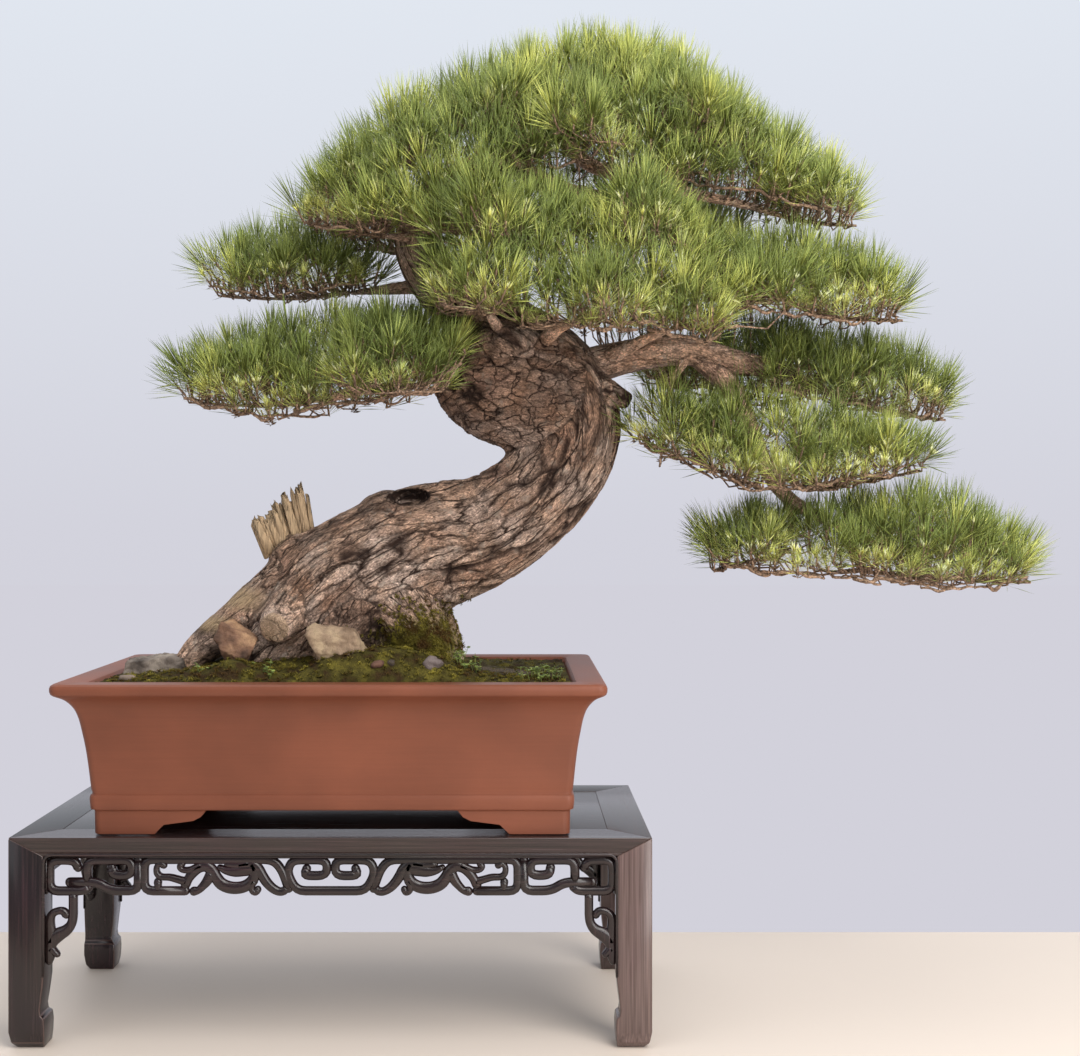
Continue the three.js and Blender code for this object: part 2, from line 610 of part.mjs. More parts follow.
// Branches: line and radii at its points; each starts inside the wood it grows from
const BRANCHES = {
  right: {
    line: [
      [345, 0, 985],
      [429, -10, 1009],
      [521, -20, 1021],
      [606, -30, 1001],
      [678, -15, 989],
      [708, 12, 982],
    ],
    r: [34, 27, 25, 20, 14, 6],
    sides: 8,
  },
  down: {
    line: [
      [552, -22, 1011],
      [595, -30, 965],
      [624, -40, 903],
      [650, -40, 841],
      [683, -30, 795],
      [732, -20, 764],
      [790, -15, 740],
    ],
    r: [20, 19, 16, 14, 12, 10, 6],
    sides: 6,
  },
  r1: {
    line: [
      [241, 0, 1322],
      [335, -22, 1269],
      [427, -40, 1242],
      [503, -60, 1201],
      [560, -70, 1167],
      [614, -72, 1133],
      [648, -78, 1094],
    ],
    r: [18, 16, 15, 13, 11, 9, 4],
    sides: 6,
  },
  top_right: {
    line: [
      [329, 0, 1364],
      [382, -12, 1311],
      [458, -30, 1283],
      [549, -45, 1256],
      [619, -45, 1241],
      [686, -40, 1222],
    ],
    r: [13, 12, 10, 9, 7, 4],
    sides: 6,
  },
  l1: {
    line: [[194, 0, 1067], [148, -20, 1021], [86, -28, 981], [1, -26, 952], [-62, -22, 940]],
    r: [22, 17, 13, 9, 4],
    sides: 6,
  },
  l2: { line: [[146, 10, 1127], [82, 30, 1125], [0, 48, 1120]], r: [15, 11, 4], sides: 4 },
  l3: { line: [[144, 0, 1202], [105, -25, 1194], [63, -42, 1194]], r: [14, 9, 4], sides: 4 },
  t3: { line: [[170, 0, 1278], [149, -38, 1294], [125, -58, 1304]], r: [12, 8, 4], sides: 4 },
  r2: { line: [[675, -18, 990], [738, -20, 962], [803, 36, 943]], r: [12, 8, 4], sides: 4 },
  br: { line: [[461, -5, 1015], [500, 70, 999], [525, 125, 981]], r: [13, 9, 4], sides: 4 },
  r4a: { line: [[685, -30, 793], [695, -25, 748], [682, -25, 713]], r: [9, 6, 4], sides: 4 },
  r4b: { line: [[779, -16, 744], [795, -35, 707], [798, -50, 685]], r: [8, 6, 4], sides: 4 },
  r4c: { line: [[784, -15, 742], [852, -5, 706], [909, 0, 674]], r: [8, 6, 4], sides: 4 },
  r3a: { line: [[639, -40, 867], [627, -58, 833], [614, -66, 817]], r: [9, 6, 4], sides: 4 },
  r3b: { line: [[652, -40, 836], [679, -52, 820], [705, -60, 808]], r: [9, 6, 4], sides: 4 },
  r3l: { line: [[537, -24, 1016], [509, -50, 974], [498, -62, 942]], r: [9, 6, 4], sides: 4 },
  r1r: { line: [[610, -72, 1136], [676, -66, 1092], [727, -62, 1071]], r: [8, 6, 4], sides: 4 },
  r1b: { line: [[503, -60, 1201], [543, 0, 1191], [565, 38, 1184]], r: [8, 6, 4], sides: 4 },
  t2a: { line: [[458, -30, 1283], [495, 25, 1302], [518, 60, 1317]], r: [8, 6, 4], sides: 4 },
  t1a: { line: [[316, 0, 1356], [275, -35, 1362], [248, -55, 1366]], r: [9, 6, 4], sides: 4 },
  t1c: { line: [[367, 0, 1392], [443, -30, 1388], [490, -50, 1371]], r: [9, 6, 4], sides: 4 },
  t1d: { line: [[335, 0, 1369], [320, 26, 1400], [304, 36, 1424]], r: [9, 6, 4], sides: 4 },
  t1f: { line: [[335, 0, 1369], [346, -55, 1345], [355, -80, 1335]], r: [9, 6, 4], sides: 4 },
  l1b: { line: [[94, -28, 984], [85, 35, 979], [73, 62, 979]], r: [8, 6, 4], sides: 4 },
  l1c: { line: [[43, -28, 964], [59, -72, 954], [70, -92, 950]], r: [8, 6, 4], sides: 4 },
  c1a: { line: [[249, -40, 1034], [233, -105, 1053], [224, -135, 1060]], r: [14, 9, 4], sides: 4 },
  c1b: { line: [[303, -40, 1026], [331, -120, 1042], [366, -158, 1048]], r: [15, 9, 4], sides: 4 },
  c1c: { line: [[412, -25, 1009], [465, -95, 1030], [497, -130, 1039]], r: [13, 8, 4], sides: 4 },
  c2a: { line: [[116, -15, 1212], [166, -90, 1197], [206, -125, 1178]], r: [13, 9, 4], sides: 4 },
  c2b: { line: [[396, -36, 1249], [399, -88, 1206], [409, -112, 1183]], r: [9, 7, 4], sides: 4 },
  b1: { line: [[127, 10, 1169], [84, 85, 1190], [65, 120, 1203]], r: [13, 8, 4], sides: 4 },
  b2: { line: [[203, 10, 1305], [241, 75, 1340], [260, 110, 1359]], r: [11, 8, 4], sides: 4 },
  b3: { line: [[427, -35, 1242], [469, 50, 1247], [489, 92, 1250]], r: [10, 7, 4], sides: 4 },
};

function buildTrunk() {
  const parts = [bole(0)];
  for (const { line, r, sides } of Object.values(BRANCHES)) {
    parts.push(limb(line, r, sides, sides > 5 ? line.length - 1 : 2));
  }
  for (const { foot, tip, r } of SPLINTERS) {
    const middle = foot.map((v, i) => v + (tip[i] - v) * 0.55);
    parts.push(limb([foot, middle, tip], [r, r * 0.75, 2], 4, 2));
  }
  parts.push(limb([STUB.foot, STUB.tip], STUB.r, 7, 1));
  const hollow = new THREE.SphereGeometry(1, 8, 5).scale(...HOLLOW.size);
  let trunk = Manifold.union(parts).subtract(solid(hollow.translate(...HOLLOW.at)));
  // What is underground is only the plug, and the rest ends just over the soil
  const ground = new THREE.BoxGeometry(POT.width, POT.depth, POT.height);
  ground.translate(0, 0, POT_Z + SOIL_LEVEL - POT.height / 2);
  trunk = trunk.subtract(soilSolid(GAP + 0.2, POT_Z)).subtract(solid(ground));
  piece(tree, "trunk", surface(trunk.add(plug(0, POT_Z))), BARK);
}

function buildSoil() {
  piece(planter, "soil", surface(soilSolid(0, 0).subtract(plug(GAP + 0.2, 0))), EARTH);
}

// Angular stones set in the soil: middle, size and turn
const STONES = [
  { name: "stone_left", at: [-160, -88, 563], size: [62, 44, 58], turn: 0.35, seed: 5 },
  { name: "stone_right", at: [-4, -128, 560], size: [92, 42, 56], turn: -0.15, seed: 11 },
  { name: "stone_flat", at: [-282, -34, 540], size: [100, 66, 46], turn: 0.1, seed: 21 },
];

function buildStones() {
  const away = bole(0.7);
  const bed = soilSolid(GAP + 0.1, POT_Z);
  for (const { name, at, size, turn, seed } of STONES) {
    const random = seeded(seed);
    const block = mergeVertices(
      new THREE.BoxGeometry(1, 1, 1, 2, 2, 1).deleteAttribute("normal").deleteAttribute("uv"),
    );
    const position = block.getAttribute("position");
    for (let k = 0; k < position.count; k++) {
      const p = V(position.getX(k), position.getY(k), position.getZ(k));
      const corner = p.length();
      p.multiplyScalar((0.62 / Math.max(0.5, corner)) * 0.75 + 0.42);
      p.x += (random() - 0.5) * 0.16;
      p.y += (random() - 0.5) * 0.16;
      p.z += (random() - 0.5) * 0.2 + (p.z > 0 ? p.x * 0.3 : 0);
      position.setXYZ(k, p.x * size[0], p.y * size[1], p.z * size[2]);
    }
    const stone = solid(block.rotateZ(turn).translate(...at)).subtract(bed).subtract(away);
    const place = V(...at);
    piece(tree, name, surface(stone, place), ROCK, { at: place });
  }
}

// Sprays of foliage. Each grows from the end of a branch to a point. Its side twigs, in order
// from the branch, go left (L), right (R) or up to the crown of the spray (C): wide is how far
// the first two reach out, and rise is how high the last stands in the middle.
const SPRAYS = [
  { name: "l1a", from: "l1", to: [-234, -10, 939], wide: 78, ribs: "LCRL", rise: 50 },
  { name: "l1b", from: "l1b", to: [25, 160, 981], wide: 70, ribs: "CR", rise: 85 },
  { name: "l1c", from: "l1c", to: [97, -170, 942], wide: 84, ribs: "LCR", rise: 85 },
  { name: "l2", from: "l2", to: [-190, 52, 1114], wide: 70, ribs: "LCRC", rise: 60 },
  { name: "l3", from: "l3", to: [-55, -72, 1209], wide: 66, ribs: "LCR", rise: 80 },
  { name: "t3", from: "t3", to: [58, -95, 1289], wide: 62, ribs: "LCR", rise: 65 },
  { name: "t1a", from: "t1a", to: [174, -90, 1350], wide: 62, ribs: "LCR", rise: 30 },
  { name: "t1b", from: "trunk", to: [476, 4, 1444], wide: 66, ribs: "LRC", rise: 20 },
  { name: "t1c", from: "t1c", to: [609, -75, 1318], wide: 66, ribs: "LCR", rise: 35 },
  { name: "t1d", from: "t1d", to: [256, 34, 1440], wide: 60, ribs: "LCR", rise: 28 },
  { name: "t1f", from: "t1f", to: [407, -140, 1313], wide: 70, ribs: "LCR", rise: 50 },
  { name: "t2a", from: "t2a", to: [607, 120, 1332], wide: 66, ribs: "LC", rise: 50 },
  { name: "t2b", from: "top_right", to: [792, -34, 1211], wide: 62, ribs: "LCR", rise: 48 },
  { name: "c1a", from: "c1a", to: [165, -190, 1064], wide: 70, ribs: "LCR", rise: 60 },
  { name: "c1b", from: "c1b", to: [458, -195, 1040], wide: 62, ribs: "LCR", rise: 60 },
  { name: "c1c", from: "c1c", to: [590, -160, 1039], wide: 62, ribs: "LCR", rise: 60 },
  { name: "c2a", from: "c2a", to: [297, -170, 1154], wide: 66, ribs: "LCR", rise: 60 },
  { name: "c2b", from: "c2b", to: [512, -150, 1161], wide: 62, ribs: "LCR", rise: 60 },
  { name: "r1l", from: "r1", to: [602, -140, 1076], wide: 56, ribs: "L", rise: 40 },
  { name: "r1r", from: "r1r", to: [857, -58, 1061], wide: 66, ribs: "LCR", rise: 58 },
  { name: "r1b", from: "r1b", to: [621, 100, 1196], wide: 60, ribs: "LC", rise: 60 },
  { name: "r2a", from: "right", to: [752, 112, 966], wide: 62, ribs: "LC", rise: 50 },
  { name: "r2b", from: "r2", to: [958, 60, 917], wide: 70, ribs: "LCR", rise: 55 },
  { name: "br", from: "br", to: [543, 220, 984], wide: 62, ribs: "R", rise: 40 },
  { name: "r3a", from: "r3a", to: [533, -80, 851], wide: 60, ribs: "LCR", rise: 45 },
  { name: "r3b", from: "r3b", to: [883, -62, 831], wide: 66, ribs: "LCRC", rise: 60 },
  { name: "r3l", from: "r3l", to: [484, -78, 868], wide: 42, ribs: "L", rise: 0 },
  { name: "r4a", from: "r4a", to: [573, -30, 677], wide: 66, ribs: "LCR", rise: 40 },
  { name: "r4b", from: "r4b", to: [866, -92, 668], wide: 70, ribs: "CLC", rise: 95 },
  { name: "r4c", from: "r4c", to: [1076, 6, 658], wide: 66, ribs: "LCRC", rise: 50 },
  { name: "b1", from: "b1", to: [20, 210, 1223], wide: 70, ribs: "LC", rise: 70 },
  { name: "b2", from: "b2", to: [317, 200, 1388], wide: 70, ribs: "C", rise: 60 },
  { name: "b3", from: "b3", to: [562, 180, 1258], wide: 66, ribs: "LC", rise: 60 },
];

// Everything a new twig or needle has to stay clear of, as thick lines
const placed = [];
const lineA = new THREE.Line3();
const lineB = new THREE.Line3();

function occupy(a, b, radius, owner) {
  const box = new THREE.Box3().setFromPoints([a, b]).expandByScalar(radius);
  placed.push({ a: a.clone(), b: b.clone(), radius, owner, box });
}

function isClear(a, b, radius, margin, owner) {
  const box = new THREE.Box3().setFromPoints([a, b]).expandByScalar(radius + margin);
  lineA.set(a, b);
  for (const other of placed) {
    if (other.owner === owner || !other.box.intersectsBox(box)) continue;
    lineB.set(other.a, other.b);
    const reach = other.radius + radius + margin;
    if (lineA.distanceSqToLine3(lineB) < reach * reach) return false;
  }
  return true;
}

function occupyLine(line, radii, owner) {
  const curve = new THREE.CatmullRomCurve3(line.map((p) => V(...p)));
  const steps = (line.length - 1) * 3;
  for (let i = 0; i < steps; i++) {
    const at = Math.min(line.length - 1 - 1e-6, ((i + 0.5) / steps) * (line.length - 1));
    const low = Math.floor(at);
    const radius = THREE.MathUtils.lerp(radii[low], radii[low + 1], at - low);
    occupy(curve.getPoint(i / steps), curve.getPoint((i + 1) / steps), radius * 1.12, owner);
  }
}

// One twig with its needles, three-sided: rings along a line, and on each face of the
// last rings a needle grown out of that face
function twigGeometry(centres, radii, needles) {
  const corners = [];
  let tangent = centres[1].clone().sub(centres[0]).normalize();
  const normal = Math.abs(tangent.z) > 0.9 ? V(1, 0, 0) : V(0, 0, 1);
  centres.forEach((centre, i) => {
    const next = centres[Math.min(i + 1, centres.length - 1)];
    const before = centres[Math.max(i - 1, 0)];
    tangent = next.clone().sub(before).normalize();
    normal.addScaledVector(tangent, -normal.dot(tangent)).normalize();
    const spun = normal.clone().applyAxisAngle(tangent, needles[i] ? 0.7 : 0);
    if (needles[i]) normal.copy(spun);
    const across = tangent.clone().cross(normal);
    for (let j = 0; j < 3; j++) {
      const angle = (j / 3) * 2 * Math.PI;
      corners.push(
        centre
          .clone()
          .addScaledVector(normal, Math.cos(angle) * radii[i])
          .addScaledVector(across, Math.sin(angle) * radii[i]),
      );
    }
  });
  const triangles = [[corners[2], corners[1], corners[0]]];
  for (let i = 0; i + 1 < centres.length; i++) {
    for (let j = 0; j < 3; j++) {
      const k = (j + 1) % 3;
      const below = 3 * i;
      const above = below + 3;
      const quad = [corners[below + j], corners[below + k], corners[above + k], corners[above + j]];
      const tip = needles[i] ? needles[i](quad, j) : null;
      if (tip) {
        quad.forEach((p, n) => triangles.push([p, quad[(n + 1) % 4], tip]));
      } else {
        triangles.push([quad[0], quad[1], quad[2]], [quad[0], quad[2], quad[3]]);
      }
    }
  }
  const end = corners.slice(-3);
  triangles.push([end[0], end[1], end[2]]);
  const flat = triangles.flat().flatMap((p) => [p.x, p.y, p.z]);
  const geometry = new THREE.BufferGeometry();
  return geometry.setAttribute("position", new THREE.Float32BufferAttribute(flat, 3));
}

// Twigs: radii along the main twig and at the ends of a side twig, the radius kept clear around
// them, the room between sprays, and how far the main twig sags in its middle
const TWIG = { main: [3.4, 3.2, 2.9, 2.5, 2.1], side: [2.3, 1.8], clear: 3, room: 4, sag: 0.03 };
const TWIG_STATIONS = [0, 0.15, 0.4, 0.7, 0.93];
// Lengths tried in turn where a side twig would meet another spray
const TWIG_LENGTHS = [1, 0.8, 0.6, 0.42];

// Plans a spray's twigs before any needle is placed, so that needles can avoid them
function planSpray(spec, index) {
  const random = seeded(100 + index * 17);
  const source = spec.from === "trunk" ? TRUNK_LINE : BRANCHES[spec.from].line;
  const tip = V(...source[source.length - 1]);
  const before = V(...source[source.length - 2]);
  const heading = tip.clone().sub(before).normalize();
  const from = tip.clone().addScaledVector(heading, 2 * GAP);
  const to = V(...spec.to);
  const length = from.distanceTo(to);
  const along = to.clone().sub(from).normalize();
  const side = V(-along.y, along.x, 0).normalize();
  const middle = from.clone().lerp(to, 0.5).add(V(0, 0, -TWIG.sag * length));
  const lead = from.clone().addScaledVector(heading, Math.min(14, length * 0.12));
  const curve = new THREE.CatmullRomCurve3([from, lead, middle, to]);
  const owner = spec.name;
  const twigs = [];
  // Main twig, ending in a tuft of its own
  const stem = TWIG_STATIONS.map((t) => curve.getPoint(t));
  const forward = along.clone().multiplyScalar(0.6);
  twigs.push({ path: stem, radii: TWIG.main, lean: forward });
  const clearStem = TWIG.main[0] + GAP;
  for (let i = 0; i < stem.length - 1; i++) occupy(stem[i], stem[i + 1], clearStem, owner);
  [...spec.ribs].forEach((kind, i) => {
    const t = 0.14 + (0.76 * (i + 0.5)) / spec.ribs.length;
    const start = curve.getPoint(t);
    const bulge = Math.sin(Math.PI * t) * (0.9 + 0.2 * random());
    const hand = kind === "L" ? 1 : -1;
    const out = side.clone().multiplyScalar(hand).addScaledVector(along, 0.28).normalize();
    let reach = out.clone().multiplyScalar(spec.wide * (0.66 + 0.36 * bulge)).add(V(0, 0, 9));
    let lean = out.clone().multiplyScalar(0.75);
    if (kind === "C") {
      const sway = side.clone().multiplyScalar((random() - 0.5) * 34);
      reach = sway.addScaledVector(along, 10).add(V(0, 0, spec.rise * (0.55 + 0.5 * bulge)));
      lean = side.clone().multiplyScalar((random() - 0.5) * 0.5).addScaledVector(along, 0.15);
    }
    for (const shrink of TWIG_LENGTHS) {
      const end = start.clone().addScaledVector(reach, shrink);
      if (!isClear(start, end, TWIG.clear, TWIG.room, owner)) continue;
      twigs.push({ path: [start, end], radii: TWIG.side, lean });
      occupy(start, end, TWIG.clear, owner);
      break;
    }
  });
  return { spec, twigs, random, owner };
}

// Angle of the needles from the twig's own heading, ring by ring from low to high
const TUFT_ANGLES = [1.12, 0.84, 0.56, 0.27];
// How often a needle that meets something is turned and tried again
const ATTEMPTS = 8;
// The one spray whose tuft hangs down
const HANGING = "r3l";

function growSpray({ spec, twigs, random, owner }) {
  const grown = [];
  for (const { path, radii, lean } of twigs) {
    const axis = V(0, 0, spec.name === HANGING ? -0.5 : 1).add(lean).normalize();
    const centres = [...path];
    const widths = [...radii];
    const needles = path.map(() => null);
    let at = path[path.length - 1].clone().addScaledVector(axis, 5);
    const fresh = [];
    TUFT_ANGLES.forEach((open) => {
      const ringCentre = at.clone();
      centres.push(ringCentre);
      widths.push(NEEDLE.stem);
      needles.push((quad) => {
        const foot = quad[0].clone().add(quad[1]).add(quad[2]).add(quad[3]).multiplyScalar(0.25);
        const outward = foot.clone().sub(ringCentre);
        outward.addScaledVector(axis, -outward.dot(axis)).normalize();
        for (let attempt = 0; attempt < ATTEMPTS; attempt++) {
          const swing = (random() - 0.5) * (0.5 + attempt * 0.12);
          const tilt = open + (random() - 0.5) * (0.16 + attempt * 0.06);
          const away = outward.clone().applyAxisAngle(axis, swing);
          const heading = axis.clone().multiplyScalar(Math.cos(tilt));
          heading.addScaledVector(away, Math.sin(tilt));
          if (heading.z < -0.1 && spec.name !== HANGING) heading.setZ(0.05).normalize();
          const length = NEEDLE.length + (random() - 0.5) * 2 * NEEDLE.spread;
          const tip = foot.clone().addScaledVector(heading, length);
          const near = foot.clone().addScaledVector(heading, 7);
          if (!isClear(foot, tip, 1.5, 1.2, owner)) continue;
          if (!isClear(near, tip, 1, 0.8, "none")) continue;
          fresh.push([near, tip]);
          return tip;
        }
        return null;
      });
      at = at.clone().addScaledVector(axis, NEEDLE.step);
    });
    centres.push(at.clone());
    widths.push(0.7);
    needles.push(null);
    const geometry = twigGeometry(centres, widths, needles);
    for (const [a, b] of fresh) occupy(a, b, 1, owner);
    grown.push(solid(geometry));
  }
  const foot = twigs[0].path[0];
  const body = surface(Manifold.union(grown), foot);
  piece(tree, "spray_" + spec.name, body, NEEDLES, { at: foot });
}

function buildSprays() {
  occupyLine(TRUNK_LINE, TRUNK_RADII, "wood");
  occupyLine(STUMP.line, STUMP.radii, "wood");
  const swelling = V(...KNOB.at);
  const reach = V(40, 0, 10);
  occupy(swelling.clone().sub(reach), swelling.clone().add(reach), KNOB.size[2] + 1, "wood");
  for (const { line, r } of Object.values(BRANCHES)) occupyLine(line, r, "wood");
  const plans = SPRAYS.map(planSpray);
  for (const plan of plans) growSpray(plan);
}

buildFrame();
buildLegs();
buildAprons();
buildBrackets();
planter.position.z = POT_Z;
buildPot();
buildSoil();
buildTrunk();
buildStones();
buildSprays();

// The part's own origin is under the middle of its bounding box
const bounds = new THREE.Box3().setFromObject(root);
const middle = bounds.getCenter(V(0, 0, 0));
root.position.set(-middle.x, -middle.y, -bounds.min.z);

export default root;
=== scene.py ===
"""Looks of a pine bonsai in a clay pot on a carved rosewood stand, built around its CAD model."""

import math
import random

import bmesh
import bpy
import numpy as np
from bpy.props import FloatProperty, FloatVectorProperty, IntProperty, PointerProperty
from mathutils import Matrix, Vector, noise
from mathutils.bvhtree import BVHTree


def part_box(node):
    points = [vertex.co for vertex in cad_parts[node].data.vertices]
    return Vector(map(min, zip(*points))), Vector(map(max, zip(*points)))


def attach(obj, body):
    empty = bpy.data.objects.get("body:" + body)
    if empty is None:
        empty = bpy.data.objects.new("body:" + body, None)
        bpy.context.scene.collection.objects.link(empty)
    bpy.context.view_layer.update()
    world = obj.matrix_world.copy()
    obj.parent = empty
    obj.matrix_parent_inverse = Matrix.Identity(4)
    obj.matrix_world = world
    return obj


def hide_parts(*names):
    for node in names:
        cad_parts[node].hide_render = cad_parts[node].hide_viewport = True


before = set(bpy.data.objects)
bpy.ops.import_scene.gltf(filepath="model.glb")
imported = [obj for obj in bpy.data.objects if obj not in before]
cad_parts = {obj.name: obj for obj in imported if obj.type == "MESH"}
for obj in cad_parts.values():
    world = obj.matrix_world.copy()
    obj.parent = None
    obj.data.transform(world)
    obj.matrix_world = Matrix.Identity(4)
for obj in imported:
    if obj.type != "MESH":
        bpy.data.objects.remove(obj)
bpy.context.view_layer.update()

bl_info = {
    "name": "Pine bonsai",
    "version": (1, 0, 0),
    "blender": (4, 5, 0),
    "location": "3D View > Sidebar > Bonsai",
    "description": "Builds a pine bonsai, its clay pot and its carved stand",
    "category": "Add Mesh",
}

# Sizes below are in millimetres from the middle of the stand, on the floor, unless they say metres
MM = 0.001
PANEL_LOW, PANEL_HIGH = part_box("stand_panel")
MIDDLE = (PANEL_LOW + PANEL_HIGH) / 2
TO_FRAME = Matrix.Translation((MIDDLE.x, MIDDLE.y, 0)) @ Matrix.Scale(MM, 4)
GOLDEN_ANGLE = math.radians(137.508)
UP = Vector((0, 0, 1))

STAND = {"half_width": 460, "half_depth": 207.5}
APRON = {"thick": 12, "recess": 6}
# Half of the clear distance between two legs
STAND_OPENING = {"long": 408.5, "short": 161}
LONG_SIDES = ("front", "back")
ON_STAND = TO_FRAME @ Matrix.Translation((0, 0, 302.3))
POT = {"half_width": 395, "half_depth": 240, "corner": 9}

# Outer wall of the pot and its lip: inset from the rim, height over the pot's bottom
POT_OUTSIDE = [
    (53.5, 0.0), (51.6, 1.2), (51.0, 34.0), (50.0, 35.6), (46.9, 37.0), (46.3, 38.6), (45.2, 50.0),
    (45.5, 55.0), (46.4, 57.6), (48.2, 59.0), (48.4, 61.0), (47.0, 66.0), (43.5, 102.0),
    (40.3, 128.0), (36.0, 153.0), (32.5, 170.0), (27.0, 184.5), (17.0, 197.0), (4.6, 204.0),
    (1.6, 206.6), (0.3, 210.5), (0.2, 215.5), (1.5, 219.2), (5.0, 221.5), (38.0, 221.5),
    (42.5, 219.8), (50.0, 205.0), (56.0, 185.0), (60.0, 120.0), (62.0, 50.0),
]
# Underside of the pot, from the foot inwards
POT_UNDERSIDE = [(66.5, 0.0), (67.6, 1.4), (69.0, 35.0)]
# Half of the arch between two feet: distance past the arch's flat top, height
FOOT_ARCH = [(0, 35.3), (8, 25.5), (19, 20), (61, 14.5), (74, 2), (76, -5)]
FOOT_ARCH_TOPS = {"front": 181, "side": 44}

# Left half of the front fretwork, x from the apron's middle and height: bar width, line
FRET_LONG = [
    (3.4, [(-408, 275.2), (-408, 221)]),
    (9.8, [(-363, 257), (-368, 267.6), (-404, 267.6), (-404, 223.4), (-355, 223.4), (-348, 229)]),
    (10.4, [(-375, 236), (-335, 236), (-316, 224), (-276.5, 224), (-276.5, 268)]),
    (10.2, [(-350, 238), (-350, 268), (-286, 268), (-286, 246), (-313, 246), (-315, 257)]),
    (9.8, [(-209, 223.6), (-268, 223.6), (-268, 268.6), (-84, 268.6), (-71, 255), (-61, 227)]),
    (9.8, [(-35, 255.5), (-39, 245.4), (-6, 245.4), (-6, 268), (-56, 268), (-63.5, 250),
           (-50, 223.6), (0, 223.6)]),
    (4.4, [(-408, 273.4), (0, 273.4)]),
]
# Carved scrolls in it: x, height, width along each
FRET_SCROLLS = [
    [(-240, 260.5, 8), (-245, 263, 6.5), (-250, 258, 6.5), (-249.5, 249, 7), (-243.5, 243.8, 7),
     (-231, 243, 7.4), (-218, 239.5, 8), (-208, 236.5, 9)],
    [(-248.5, 236.5, 9), (-248, 225, 7)],
    [(-214, 262.5, 8), (-217, 258, 6.5), (-212, 253.8, 6.5), (-203, 253.8, 7), (-194, 257, 8),
     (-186, 260, 9)],
    [(-197, 223, 10), (-190.5, 224.5, 8), (-184, 230.5, 9), (-177.5, 238.5, 11), (-172, 249, 12)],
    [(-209, 233, 11), (-204.5, 241.5, 10), (-198, 249.8, 11), (-189.6, 257, 12),
     (-179.3, 259, 12.6), (-171, 253, 13), (-165, 243, 13), (-157.8, 234, 13.4),
     (-147.5, 229, 13.4), (-136.3, 227.7, 13.4), (-125, 229.7, 13), (-115.7, 235.7, 12.4),
     (-110, 245, 12), (-110, 255, 12), (-114, 262, 11)],
    [(-132, 260.5, 7), (-122, 262, 10), (-112, 261, 12), (-104.5, 255, 12), (-98.5, 245, 11.4),
     (-92, 235.5, 10.8), (-84, 227.5, 10), (-75, 222.8, 9), (-67.5, 223.5, 9), (-64.5, 228, 8)],
    [(-109, 256, 13), (-122, 254.5, 15), (-137, 252, 13), (-150, 253, 9), (-160, 257.5, 6)],
    [(-118, 263, 8), (-136, 261, 8), (-150, 262, 6)],
    [(-110.5, 238, 9), (-113.8, 230.5, 7.5), (-112.5, 223.5, 7), (-107.5, 221.4, 6.6),
     (-105.2, 225.6, 8)],
]
# Shorter pattern of the two ends
FRET_SHORT = [
    (3.4, [(-160.6, 275.2), (-160.6, 221)]),
    (9.8, [(-115, 257), (-120, 267.6), (-156, 267.6), (-156, 223.4), (-106, 223.4), (-100, 229)]),
    (10.4, [(-128, 236), (-89, 236), (-76, 226)]),
    (10.2, [(-102, 238), (-102, 268), (-70, 268)]),
    (9.8, [(-35, 255.5), (-39, 245.4), (-6, 245.4), (-6, 268), (-72, 268), (-80, 250), (-68, 223.6),
           (0, 223.6)]),
    (4.4, [(-160.6, 273.4), (0, 273.4)]),
]
# The carver left the bars a little fuller than measured between their dark edges
FRET_SWELL = 1.33
# Scrolls of a bracket: distance from the leg, height, width along each
BRACKET_SCROLLS = [
    [(38.4, 219, 9.6), (38.4, 200, 9.6), (38, 186, 9.8), (35, 175, 10.5), (28, 167, 12.5),
     (18.5, 161.5, 15), (10.5, 155.5, 16), (6, 147, 13.5), (4.5, 138, 12), (4.5, 128, 11),
     (4, 122.5, 8)],
    [(6, 150, 12), (5, 165, 13), (4.5, 180, 11), (8, 190, 9), (16, 194.6, 8), (24, 194.4, 8),
     (28.6, 189.4, 9)],
    [(6, 141, 11), (12.5, 135, 7.5), (15.5, 132.5, 7)],
]

# Wood of the tree: points and radii
TRUNK_LINE = [
    (-128, 0, 517), (-65, 0, 575), (9, 0, 646), (115, 0, 706), (227, 0, 741), (312, 0, 808),
    (354, 0, 882), (343, 0, 952), (288, 0, 1015), (217, 0, 1073), (147, 0, 1125), (112, 0, 1196),
    (147, 0, 1266), (241, 0, 1321), (335, 0, 1369), (398, 0, 1424),
]
TRUNK_RADII = [95, 105, 118, 101, 84, 77, 74, 80, 78, 58, 44, 37, 32, 27, 20, 10]
STUMP = ([(30, 0, 480), (44, 0, 560), (70, 0, 630), (104, 0, 690)], [128, 122, 108, 70])
KNOB = {"at": (265, -8, 963), "size": (133, 95, 97), "tilt": 0.26}
ROOTS = [
    ([(-90, -20, 640), (-165, -30, 592), (-222, -40, 555), (-262, -45, 512)], [58, 40, 27, 14]),
    ([(-50, -50, 640), (-84, -100, 608), (-94, -132, 594)], [46, 32, 25]),
    ([(20, -60, 620), (-8, -92, 575), (-16, -118, 520)], [60, 34, 18]),
    ([(90, -50, 620), (130, -84, 575), (152, -108, 520)], [60, 38, 18]),
    ([(100, 10, 620), (142, 8, 575), (168, 4, 518)], [60, 38, 20]),
    ([(0, 50, 640), (-20, 92, 580), (-30, 128, 520)], [60, 36, 18]),
    ([(90, 40, 630), (122, 82, 580), (138, 112, 520)], [60, 34, 18]),
]
HOLLOW = {"at": (98, -66, 793), "size": (36, 52, 15)}
